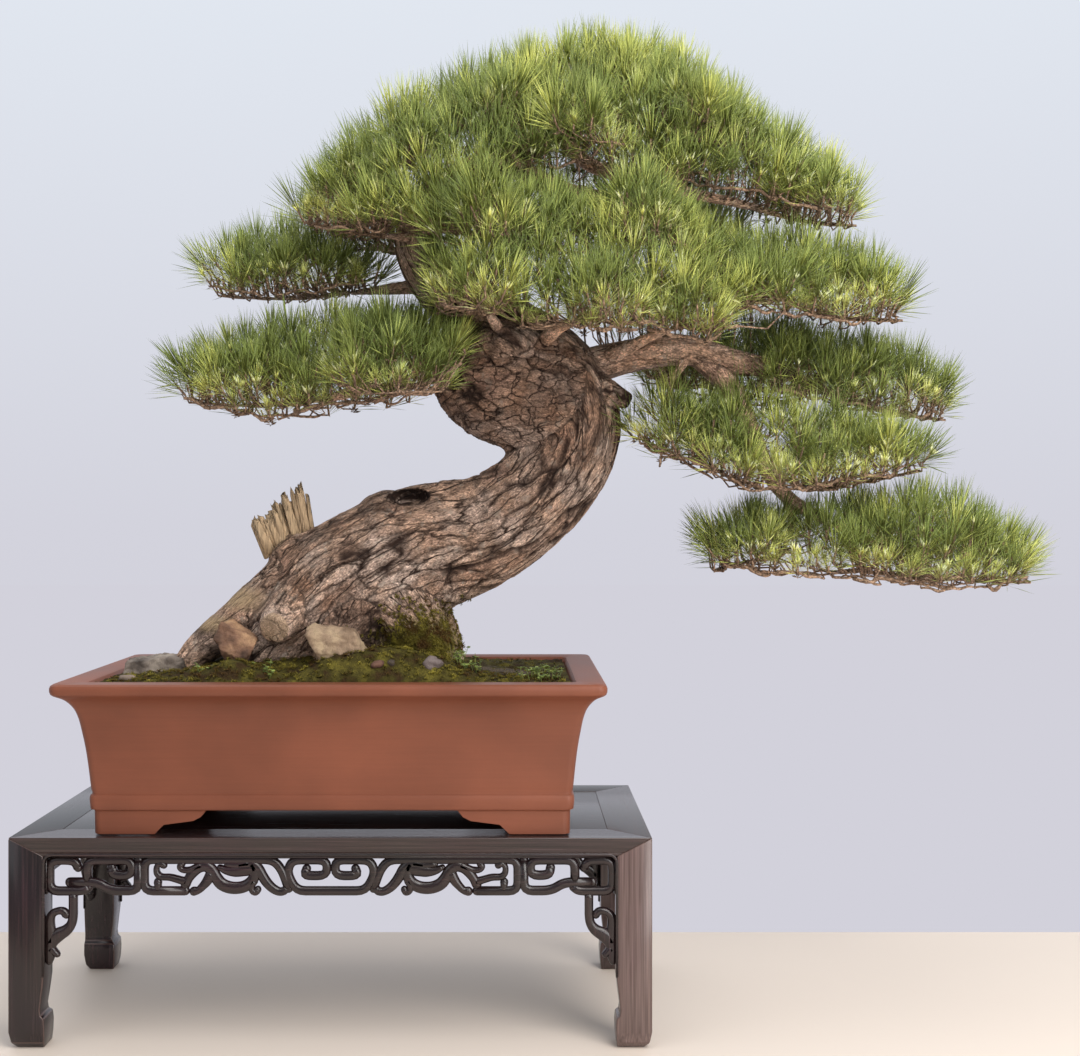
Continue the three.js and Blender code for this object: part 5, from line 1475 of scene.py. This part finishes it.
def needle_material():
    """Pine needles: waxy, fresh green, yellower when young, bluer and darker to the tip."""
    if "pine_needles" in bpy.data.materials:
        return bpy.data.materials["pine_needles"]
    pine, _ = settings()
    values = {"Roughness": 0.5, "Specular IOR Level": 0.4, "IOR": 1.45}
    made, tree = new_material("pine_needles", values)
    along = stored(tree, "along")
    old, new = Vector(pine.mature), Vector(pine.young)
    ages = ramp(
        tree, stored(tree, "tint"), (0, old * 0.5), (0.35, old), (0.65, old.lerp(new, 0.55)),
        (0.86, new), (1, linear("#dfe3bf")),
    )
    cloud = cloudy(tree, object_place(tree), 11, 2)
    shaded = ramp(tree, cloud, (0.35, (0.86, 0.9, 0.86)), (0.65, (1.12, 1.08, 0.95)))
    ends = ramp(tree, along, (0.3, (1.36, 1.3, 1.2)), (1, (0.76, 0.78, 0.72)))
    darkened = mixed(tree, "MULTIPLY", 1, mixed(tree, "MULTIPLY", 1, ages, shaded), ends)
    sheath = ranged(tree, along, (0, 0.2), (0.55, 0))
    lay_on(tree, mixed(tree, "MIX", sheath, darkened, colour(linear("#8c7a4a"))))
    return made


def twig_material():
    """Pine twigs: red-brown, rough with papery bud scales."""
    if "scaly_twigs" in bpy.data.materials:
        return bpy.data.materials["scaly_twigs"]
    made, tree = new_material("scaly_twigs", {"Roughness": 0.9})
    scales = cloudy(tree, object_place(tree), 260, 4)
    base = Vector(settings()[0].twig)
    tones = ramp(tree, scales, (0.32, base * 0.28), (0.5, base * 0.9), (0.68, base * 1.9))
    lay_on(tree, tones, scales, 1, 0.002)
    return made


# Angle of the needles from the shoot, ring by ring from low to high
RING_OPENINGS = [1.08, 0.8, 0.56, 0.35, 0.16]
# Tints of the needles, from old to young
AGES = [0.12, 0.28, 0.46, 0.64, 0.82]
# Least and greatest size of a young rosette, as a share of a grown tuft
ROSETTE_SIZES = (0.36, 0.44)
# Rows of twigs under a cloud, from its front edge at -1 to its back edge at 1
TWIG_ROWS = (-0.84, -0.35, 0.45)
# The eye of someone who stands before the tree
EYE = {"height": 750, "away": 2200}
# A cloud that hangs higher than this shows its underside
SHOWN_UNDERSIDE = 1000
# How far the needles stand over their shoots
TUFT_REACH = 62


def needle_rings():
    """Rings of needles to build tufts from: by opening, by age, in two shapes each."""
    pine, _ = settings()
    return {
        (level, age): [
            trimmed_ring(
                pine.needle_width, pine.needle_length, pine.needles_per_ring, opening,
                level * 100 + age * 10 + shape, AGES[age],
            )
            for shape in range(2)
        ]
        for level, opening in enumerate(RING_OPENINGS)
        for age in range(len(AGES))
    }


def add_tuft(bm, rings, where, heading, size, age, rng):
    """A shoot's tuft: rings of needles up the shoot, opening wide below and closing to its tip."""
    spin = rng.uniform(0, 6)
    climb = 0.0048 * size
    # A small rosette has fewer rings
    for level in range(len(RING_OPENINGS)) if size > ROSETTE_SIZES[1] else (0, 1, 3):
        drift = min(len(AGES) - 1, max(0, age + rng.choice((-1, 0, 0, 0, 1))))
        shape = rings[level, drift][rng.randrange(2)]
        spot = where + heading * (climb * level)
        put(bm, shape, aimed(spot, heading, spin + level * GOLDEN_ANGLE, size))


def add_twig(bm, unit, start, end, thick):
    """A straight length of twig between two places."""
    away = end - start
    if away.length < 0.002:
        return
    shaped = Matrix.Diagonal((thick, thick, away.length * 1.04, 1))
    put(bm, unit, aimed(start, away.normalized(), 0.4) @ shaped)


def spray_path(source, end):
    """Main twig of a spray: from its branch's end, sagging a little, to its own end."""
    line = TRUNK_LINE if source == "trunk" else BRANCHES[source][0]
    tip, before = Vector(line[-1]), Vector(line[-2])
    heading = (tip - before).normalized()
    goal = Vector(end)
    length = (goal - tip).length
    middle = tip.lerp(goal, 0.5) - Vector((0, 0, 0.03 * length))
    return [tip, tip + heading * min(14, length * 0.12), middle, goal]


class Tuft:
    """Where a tuft stands, which way it points and how old it is."""

    def __init__(self, base, heading, size, age, way):
        self.base, self.heading, self.size, self.age = base, heading, size, age
        # Places that its twig passes, from the wood to the tuft
        self.way = way


def tuft_look(low, dark, rng):
    """Size and age of a tuft: those low on a cloud are mostly young and short."""
    if low and rng.random() < 0.6:
        return rng.uniform(0.45, 0.75), rng.choice((3, 4, 4))
    # In a spray in painted shade the tufts are older, so darker
    return rng.uniform(0.84, 1.14), rng.choice((0, 0, 0, 1, 1, 2) if dark else (0, 0, 1, 1, 2, 3))


def elbow_between(root, base):
    """Where a twig bends up to its tuft, no lower than its two ends."""
    elbow = root.lerp(base, 0.62)
    elbow.z = max(elbow.z - 0.3 * (base - root).length, min(root.z, base.z) - 2)
    return elbow


def plan_spray(spec, number):
    """The tufts that stand on one spray's main twig and ribs."""
    name, source, end, reach_left, reach_right, rise = spec
    pine, _ = settings()
    rng = random.Random(500 + number)
    path = spray_path(source, end)
    start, goal = path[0], path[-1]
    drop = start.z - goal.z
    ahead = Vector((goal.x - start.x, goal.y - start.y, 0))
    length = ahead.length
    # The tufts of a steep spray stand on its lower end
    least = 0.5 if drop > length else 0.0
    ahead.normalize()
    left = Vector((-ahead.y, ahead.x, 0))
    across = (reach_left + reach_right) / 2
    offset = (reach_left - reach_right) / 2
    half_along = length * 0.5 - 2
    area = math.pi * half_along * (across + 8)
    count = round(area / (pine.tuft_spacing / MM) ** 2)
    rim = round(math.pi * (half_along + across) / (pine.tuft_spacing / MM))
    tufts = []
    for i in range(count + rim):
        r = math.sqrt((i + 0.5) / count) * 0.92 if i < count else rng.uniform(0.94, 1.04)
        turn = i * GOLDEN_ANGLE + rng.uniform(-0.2, 0.2)
        if i >= count:
            turn = (i - count) * 2 * math.pi / rim
        u, v = r * math.cos(turn), r * math.sin(turn)
        t = min(1, max(least, 0.5 + 0.5 * u))
        on_twig, _ = spline(path, t * (len(path) - 1))
        flat = ahead * (u * half_along + half_along - 8) + left * (v * across + offset)
        low = i >= count
        lift = rng.uniform(0, 7) if low else rise * max(0, 1 - r * r) ** 0.7 * rng.uniform(0.7, 1)
        floor = on_twig.z + 6 * r + rng.uniform(-3, 3)
        base = Vector((start.x + flat.x, start.y + flat.y, floor + lift))
        out = ahead * u + left * v
        lean = out * (0.55 if low else 0.12 + 0.5 * r * r)
        sway = Vector((rng.uniform(-0.2, 0.2), rng.uniform(-0.2, 0.2), 0))
        size, age = tuft_look(low, name in DARK, rng)
        elbow = elbow_between(on_twig, base)
        tufts.append(Tuft(base, (UP + lean + sway).normalized(), size, age, [on_twig, elbow]))
    return tufts


def rim_droop(under, deep, share):
    """How far the underside hangs towards the rim of a cloud; high clouds hang most."""
    steep = max(0, under - EYE["height"]) / EYE["away"]
    return deep * steep * min(1, abs(share)) ** 1.5


def measures(rows, x, *columns):
    """Some of a cloud's measures at x, between its sections."""
    return (np.interp(x, rows[:, 0], rows[:, column]) for column in columns)


def seen_from_below(rows):
    """Whether a cloud hangs well above the eye."""
    return rows[:, 2].mean() > SHOWN_UNDERSIDE


def plan_cloud(spacing, sections, number):
    """Tufts over the skin of a cloud, from its front edge over its top to its back edge."""
    rng = random.Random(900 + number)
    rows = np.array(sections, float)
    first, last = rows[0, 0] + 16, rows[-1, 0] - 16
    across = round((last - first) / (spacing * 0.9))
    tufts = []
    for step in range(across + 1):
        x = first + (last - first) * step / across
        middle, under, top, deep = measures(rows, x, 1, 2, 3, 4)
        tall = max(5, top - under - TUFT_REACH)
        arc = math.pi * math.sqrt((deep**2 + tall**2) / 2)
        count = max(3, round(arc / spacing))
        end = ((x - first) / (last - first) * 2 - 1) ** 3
        for k in range(count + 1):
            turn = math.pi * (k + (step % 2) * 0.5) / (count + 0.5)
            turn = min(math.pi, max(0, turn + rng.uniform(-0.08, 0.08)))
            c, s = math.cos(turn), math.sin(turn)
            base = Vector((
                x + rng.uniform(-8, 8), middle - deep * c,
                under + 6 + tall * s * rng.uniform(0.86, 1.02) - rim_droop(under, deep, c),
            ))
            out = Vector((end * 0.6, -0.5 * c, 0))
            sway = Vector((rng.uniform(-0.24, 0.24), rng.uniform(-0.18, 0.18), 0))
            size, age = tuft_look(s < 0.3 and number > 0, False, rng)
            tufts.append(Tuft(base, (UP + out + sway).normalized(), size, age, None))
    # Young rosettes close together along the front of the underside
    gap = 16 if seen_from_below(rows) else 19
    for step in range(round((last - first) / gap)):
        x = first + gap * (step + rng.uniform(0, 1))
        middle, under, deep = measures(rows, x, 1, 2, 4)
        share = rng.uniform(0.72, 0.98)
        up = rng.uniform(0, 22) + 5
        base = Vector((x, middle - deep * share, under + up - rim_droop(under, deep, share)))
        heading = Vector((rng.uniform(-0.5, 0.5), -0.5, 1)).normalized()
        size = rng.uniform(*ROSETTE_SIZES)
        tufts.append(Tuft(base, heading, size, rng.choice((2, 3, 3, 4)), None))
    return tufts


def line_points(points, step):
    """Places along a smooth line."""
    count = max(2, round(length_of(points) / step))
    return [spline(points, (len(points) - 1) * i / count)[0] for i in range(count + 1)]


def plan_foliage():
    """The tufts of every spray: its own, and those that close the clouds between the sprays."""
    plans = {spec[0]: plan_spray(spec, number) for number, spec in enumerate(SPRAYS)}
    paths = {spec[0]: line_points(spray_path(spec[1], spec[2]), 12) for spec in SPRAYS}
    owners = [(p, name) for name, line in paths.items() for p in line]
    spots = np.array([tuple(p) for p, _ in owners])
    wood = [p for line, _ in BRANCHES.values() for p in line_points(line, 12)]
    wood += [p for p, _ in owners]
    wood_spots = np.array([tuple(p) for p in wood])
    taken = np.array([tuple(tuft.base) for plan in plans.values() for tuft in plan])
    for number, (openness, sections) in enumerate(CLOUDS):
        spacing = settings()[0].tuft_spacing / MM * openness
        for tuft in plan_cloud(spacing, sections, number):
            here = np.array(tuft.base)
            if tuft.size > ROSETTE_SIZES[1]:
                if np.linalg.norm(taken - here, axis=1).min() < spacing * 0.8:
                    continue
                taken = np.vstack([taken, here])
            name = owners[np.linalg.norm(spots - here, axis=1).argmin()][1]
            # Wood above the tuft counts as farther off, so twigs rise to their tufts
            away = np.linalg.norm(wood_spots - here, axis=1)
            away += np.maximum(0, wood_spots[:, 2] - here[2]) * 2
            root = wood[away.argmin()]
            tuft.way = [root, elbow_between(root, tuft.base)]
            # Tufts of the sprays in painted shade are made a year older, so darker
            if name in DARK:
                tuft.age = max(0, tuft.age - 1)
            plans[name].append(tuft)
    return plans


def build_spray(spec, tufts, rings, twig, scales, buds, strays, number):
    name, source, end = spec[:3]
    rng = random.Random(700 + number)
    twigs, green = bmesh.new(), bmesh.new()
    frames = stations(spray_path(source, end), [3.8, 3.4, 2.9, 2.2], 14)
    for a, b in zip(frames, frames[1:]):
        thick = a[4] * rng.uniform(0.85, 1.45) * MM
        add_twig(twigs, twig, TO_FRAME @ a[0], TO_FRAME @ b[0], thick)
    for i, tuft in enumerate(tufts):
        spot = TO_FRAME @ tuft.base
        add_tuft(green, rings, spot, tuft.heading, tuft.size, tuft.age, rng)
        way = [TO_FRAME @ p for p in tuft.way] + [spot]
        thick = rng.uniform(1.2, 2.0) * MM
        for a, b in zip(way, way[1:]):
            add_twig(twigs, twig, a, b, thick)
            thick *= 0.86
        add_twig(twigs, twig, spot, spot + tuft.heading * (0.022 * tuft.size), 0.0019)
        if tuft.size > 0.8 and i % 3 == 0:
            put(green, strays[i % len(strays)], aimed(spot, tuft.heading, i))
        if rng.random() < 0.5:
            put(green, buds[i % len(buds)], aimed(spot + tuft.heading * 0.014, tuft.heading, i))
        if i % 2:
            foot = aimed(spot - tuft.heading * 0.006, tuft.heading, i)
            put(twigs, scales[i % len(scales)], foot)
    for face in twigs.faces:
        face.material_index = 1
    join(green, twigs)
    finish_piece(
        green, "foliage_" + name, [needle_material(), twig_material()],
        ["spray_" + name], None,
    )


def twig_unit():
    """A short length of twig, a little thicker at its foot."""
    bm = bmesh.new()
    bmesh.ops.create_cone(
        bm, cap_ends=True, segments=3, radius1=1.15, radius2=0.9, depth=1,
        matrix=Matrix.Translation((0, 0, 0.5)),
    )
    return small_shape(bm, "twig")


def build_cloud_twigs(unit):
    """Knobbly twigs that wander along the underside of each cloud, with spurs up into it."""
    rng = random.Random(63)
    bm = bmesh.new()

    def knobbly(t, turn):
        return 1 + 0.75 * noise.noise(Vector((t * long / 8 + seed, turn * 0.7, seed)))

    for _, sections in CLOUDS:
        rows = np.array(sections, float)
        first, last = rows[0, 0] + 14, rows[-1, 0] - 14
        # Under a cloud that is seen from below, twigs show along its front alone
        for row in TWIG_ROWS[: 1 if seen_from_below(rows) else 3]:
            start = first + rng.uniform(0, 30)
            while start < last - 40:
                seed = rng.uniform(0, 50)
                long = min(last - start, rng.uniform(50, 120))
                share = row + rng.uniform(-0.14, 0.14)
                line = []
                for k in range(round(long / 12) + 1):
                    x = min(last, start + 12 * k)
                    middle, under, deep = measures(rows, x, 1, 2, 4)
                    across, up = (noise.noise(Vector((x * 0.045, seed, c))) for c in (0, 9))
                    side = max(-0.95, min(0.95, share + 0.3 * across))
                    z = under + 5 - rim_droop(under, deep, side) + 11 * up
                    line.append(Vector((x, middle + deep * side, z)))
                thick = rng.uniform(2.0, 3.2) * (1.0 if row == TWIG_ROWS[0] else 0.7)
                radii = [thick] * (len(line) - 1) + [thick * 0.6]
                add_tube(bm, stations(line, radii, 6), 5, 1.0, knobbly)
                for spot in line[::2]:
                    spur = Vector((rng.uniform(-0.8, 0.8), rng.uniform(-0.6, 0.6), 1)).normalized()
                    end = spot + spur * rng.uniform(8, 22)
                    add_twig(bm, unit, spot, end, rng.uniform(0.9, 1.7))
                start += long * rng.uniform(0.9, 1.5)
    moved(recalculated(bm), TO_FRAME)
    finish_piece(bm, "cloud_twigs", [twig_material()], (), None)


def build_foliage():
    rings = needle_rings()
    unit = twig_unit()
    scales = [trimmed_ring(0.0036, 0.012, 6, 1.1, 900 + k, 0.5) for k in range(3)]
    strays = [trimmed_ring(0.0015, 0.074, 3, 0.6, 970 + k, 0.2) for k in range(4)]
    buds = [trimmed_ring(0.0042, 0.022, 5, 0.3, 950 + k, 1.0) for k in range(3)]
    plans = plan_foliage()
    for number, spec in enumerate(SPRAYS):
        build_spray(spec, plans[spec[0]], rings, unit, scales, buds, strays, number)
    build_cloud_twigs(unit)
    small = scales + buds + strays + [unit]
    for mesh, _ in sum(rings.values(), small):
        bpy.data.meshes.remove(mesh)


# Herbs

# Middle and spread of each patch, number of stems
HERB_PATCHES = [((304, -132), (26, 16), 30), ((198, -116), (18, 12), 12),
                ((165, -60), (26, 22), 16), ((-120, -156), (50, 12), 12),
                ((-190, -146), (26, 12), 8)]


def herb_material():
    """Small herbs: thin soft leaves of a clear green."""
    made, tree = new_material("herb_leaves", {"Roughness": 0.55})
    stops = (0.35, linear("#47521f")), (0.52, linear("#75863a")), (0.7, linear("#a5b05e"))
    lay_on(tree, ramp(tree, cloudy(tree, object_place(tree), 120, 2), *stops))
    return made


def build_herbs():
    rng = random.Random(77)
    leaf_bm = bmesh.new()
    bmesh.ops.create_uvsphere(leaf_bm, u_segments=8, v_segments=4, radius=1)
    bmesh.ops.scale(leaf_bm, vec=(1, 0.8, 0.12), verts=leaf_bm.verts)
    bmesh.ops.translate(leaf_bm, vec=(1, 0, 0), verts=leaf_bm.verts)
    leaf = small_shape(leaf_bm, "leaf")
    stem = twig_unit()
    ground = surface_of(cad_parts["soil"])
    bm = bmesh.new()
    for (x, y), (spread_x, spread_y), count in HERB_PATCHES:
        for _ in range(count):
            px, py = x + rng.gauss(0, spread_x * 0.6), y + rng.gauss(0, spread_y * 0.6)
            px, py = min(334, max(-334, px)), min(186, max(-186, py))
            hit, _ = fall(ground, px, py)
            if hit is None:
                continue
            tall = rng.uniform(0.012, 0.03)
            lean = Vector((rng.uniform(-0.4, 0.4), rng.uniform(-0.4, 0.4), 1)).normalized()
            top = hit + lean * tall
            add_twig(bm, stem, hit - lean * 0.002, top, 0.0005)
            turn = rng.uniform(0, 6)
            for k in range(rng.choice((3, 3, 4))):
                tilt = Matrix.Rotation(-rng.uniform(0.1, 0.5), 4, "Y")
                size = rng.uniform(0.0022, 0.0042)
                where = Matrix.Translation(top - lean * rng.uniform(0, 0.006))
                spin = Matrix.Rotation(turn + k * 2.0, 4, "Z")
                put(bm, leaf, where @ spin @ tilt @ Matrix.Scale(size, 4))
    for used in (leaf[0], stem[0]):
        bpy.data.meshes.remove(used)
    finish_piece(recalculated(bm), "herbs", [herb_material()], (), None)


# Stage

# Measured in the photograph's pixels
CAMERA = {"at": (256.8, -2277.5, 754.5), "focal_px": 1450, "shift_px": (30, -7), "wide_px": 1080}
SENSOR = 36
# Where the boards end behind the stand
TABLE_END = 385


def pale_boards():
    """The floor's plain pale boards."""
    rgb = settings()[1].floor
    return new_material("pale_boards", {"Roughness": 0.6, "Base Color": colour(rgb)})[0]


def even_ground():
    """Ground that is as even as the wall behind it."""
    made = bpy.data.materials.new("even_ground")
    made.use_nodes = True
    tree = made.node_tree
    tree.nodes.clear()
    glow = add_node(tree, "Emission", {"Color": colour(linear("#d2d1db"))})
    add_node(tree, "OutputMaterial", {"Surface": glow})
    return made


def add_ground(name, middle, half, material):
    """A level stage piece: its middle and half sizes."""
    bm = bmesh.new()
    bmesh.ops.create_grid(bm, x_segments=1, y_segments=1, size=1)
    x, y, z = middle
    for v in bm.verts:
        v.co = at(x + v.co.x * half[0], y + v.co.y * half[1], z)
    mesh = mesh_of(bm, name)
    mesh.materials.append(material)
    ground = bpy.data.objects.new(name, mesh)
    bpy.context.scene.collection.objects.link(ground)


def build_world():
    """Soft daylight: a pale wall, and a room that is darker behind the camera."""
    world = bpy.data.worlds.new("soft_daylight")
    bpy.context.scene.world = world
    world.use_nodes = True
    tree = world.node_tree
    tree.nodes.clear()
    way = add_node(tree, "TexCoord", {}).outputs["Generated"]
    parts = add_node(tree, "SeparateXYZ", {0: way})
    height = ranged(tree, parts.outputs["Z"], (-1, 1), (0, 1))
    stops = (0.46, linear("#d2d1db")), (0.5, linear("#d3d3dd")), (0.68, linear("#e2e8f1"))
    behind = ranged(tree, parts.outputs["Y"], (-0.5, 0.7), (0.45, 1))
    glow = add_node(tree, "Background", {"Color": ramp(tree, height, *stops), "Strength": behind})
    add_node(tree, "OutputWorld", {"Surface": glow})


def add_light(name, where, goal, size, watts, tint):
    data = bpy.data.lights.new(name, "AREA")
    data.shape = "RECTANGLE"
    data.size, data.size_y = size
    data.energy = watts
    data.color = tint
    light = bpy.data.objects.new(name, data)
    bpy.context.scene.collection.objects.link(light)
    light.location = at(*where)
    light.rotation_euler = (at(*goal) - at(*where)).to_track_quat("-Z", "Y").to_euler()


# Name, place, what it is aimed at, size in metres, watts, colour
LIGHTS = [
    ("key", (1500, -2200, 2700), (150, 0, 800), (1.8, 1.8), 66, (1.0, 0.97, 0.93)),
    ("top", (250, -500, 3500), (250, 0, 900), (3.0, 2.4), 66, (1.0, 0.99, 0.97)),
    ("front", (2100, -2400, 900), (250, 0, 650), (2.0, 1.5), 45, (1.0, 0.98, 0.96)),
    ("fill", (-1900, -1900, 1700), (100, 0, 700), (1.6, 1.6), 6, (0.95, 0.97, 1.0)),
]


def build_stage():
    add_ground("floor", (300, -2000, -0.4), (4000, 2000 + TABLE_END), pale_boards())
    add_ground("ground_beyond", (300, 7200 + TABLE_END, -0.8), (14000, 7200), even_ground())
    build_world()
    for light in LIGHTS:
        add_light(*light)
    scene = bpy.context.scene
    data = bpy.data.cameras.new("camera")
    data.sensor_width = SENSOR
    data.lens = SENSOR * CAMERA["focal_px"] / CAMERA["wide_px"]
    data.shift_x = CAMERA["shift_px"][0] / CAMERA["wide_px"]
    data.shift_y = CAMERA["shift_px"][1] / CAMERA["wide_px"]
    camera = bpy.data.objects.new("camera", data)
    scene.collection.objects.link(camera)
    camera.location = at(*CAMERA["at"])
    camera.rotation_euler = (math.radians(90), 0, 0)
    scene.camera = camera
    scene.view_settings.view_transform = "Standard"


class BONSAI_OT_boards(bpy.types.Operator):
    """Make the rails, the panel and the legs of the stand"""

    bl_idname = "bonsai.boards"
    bl_label = "Rails, panel and legs"

    def execute(self, context):
        build_boards()
        return {"FINISHED"}


class BONSAI_OT_aprons(bpy.types.Operator):
    """Carve the fretwork of the four aprons"""

    bl_idname = "bonsai.aprons"
    bl_label = "Fretwork aprons"

    def execute(self, context):
        build_aprons()
        return {"FINISHED"}


class BONSAI_OT_brackets(bpy.types.Operator):
    """Carve the brackets beside the legs"""

    bl_idname = "bonsai.brackets"
    bl_label = "Brackets"

    def execute(self, context):
        build_brackets()
        return {"FINISHED"}


class BONSAI_OT_pot(bpy.types.Operator):
    """Make the clay pot"""

    bl_idname = "bonsai.pot"
    bl_label = "Clay pot"

    def execute(self, context):
        build_pot()
        return {"FINISHED"}


class BONSAI_OT_ground(bpy.types.Operator):
    """Lay the soil, the moss, the stones and the herbs"""

    bl_idname = "bonsai.ground"
    bl_label = "Ground"

    def execute(self, context):
        build_moss()
        build_moss_tufts()
        build_stones()
        build_herbs()
        return {"FINISHED"}


class BONSAI_OT_wood(bpy.types.Operator):
    """Grow the trunk, the branches and the dead wood"""

    bl_idname = "bonsai.wood"
    bl_label = "Trunk and branches"

    def execute(self, context):
        build_trunk()
        build_branches()
        build_splinters()
        return {"FINISHED"}


class BONSAI_OT_foliage(bpy.types.Operator):
    """Grow the sprays of needles"""

    bl_idname = "bonsai.foliage"
    bl_label = "Foliage"

    def execute(self, context):
        build_foliage()
        return {"FINISHED"}


class BONSAI_OT_stage(bpy.types.Operator):
    """Set the floor, the lights and the camera"""

    bl_idname = "bonsai.stage"
    bl_label = "Stage"

    def execute(self, context):
        build_stage()
        return {"FINISHED"}


OPERATORS = [
    BONSAI_OT_stage, BONSAI_OT_boards, BONSAI_OT_aprons, BONSAI_OT_brackets, BONSAI_OT_pot,
    BONSAI_OT_wood, BONSAI_OT_ground, BONSAI_OT_foliage,
]


class BONSAI_PT_panel(bpy.types.Panel):
    """Lists the bonsai's pieces"""

    bl_idname = "BONSAI_PT_panel"
    bl_label = "Pine bonsai"
    bl_space_type = "VIEW_3D"
    bl_region_type = "UI"
    bl_category = "Bonsai"

    def draw(self, context):
        for operator in OPERATORS:
            self.layout.operator(operator.bl_idname)
        for group in (context.scene.pine_settings, context.scene.holder_settings):
            for name in group.__annotations__:
                self.layout.prop(group, name)


CLASSES = [PineSettings, HolderSettings, *OPERATORS, BONSAI_PT_panel]


def register():
    for cls in CLASSES:
        bpy.utils.register_class(cls)
    bpy.types.Scene.pine_settings = PointerProperty(type=PineSettings)
    bpy.types.Scene.holder_settings = PointerProperty(type=HolderSettings)


def unregister():
    del bpy.types.Scene.holder_settings
    del bpy.types.Scene.pine_settings
    for cls in reversed(CLASSES):
        bpy.utils.unregister_class(cls)


def main():
    register()
    for operator in OPERATORS:
        group, name = operator.bl_idname.split(".")
        getattr(getattr(bpy.ops, group), name)()


if __name__ == "__main__":
    main()
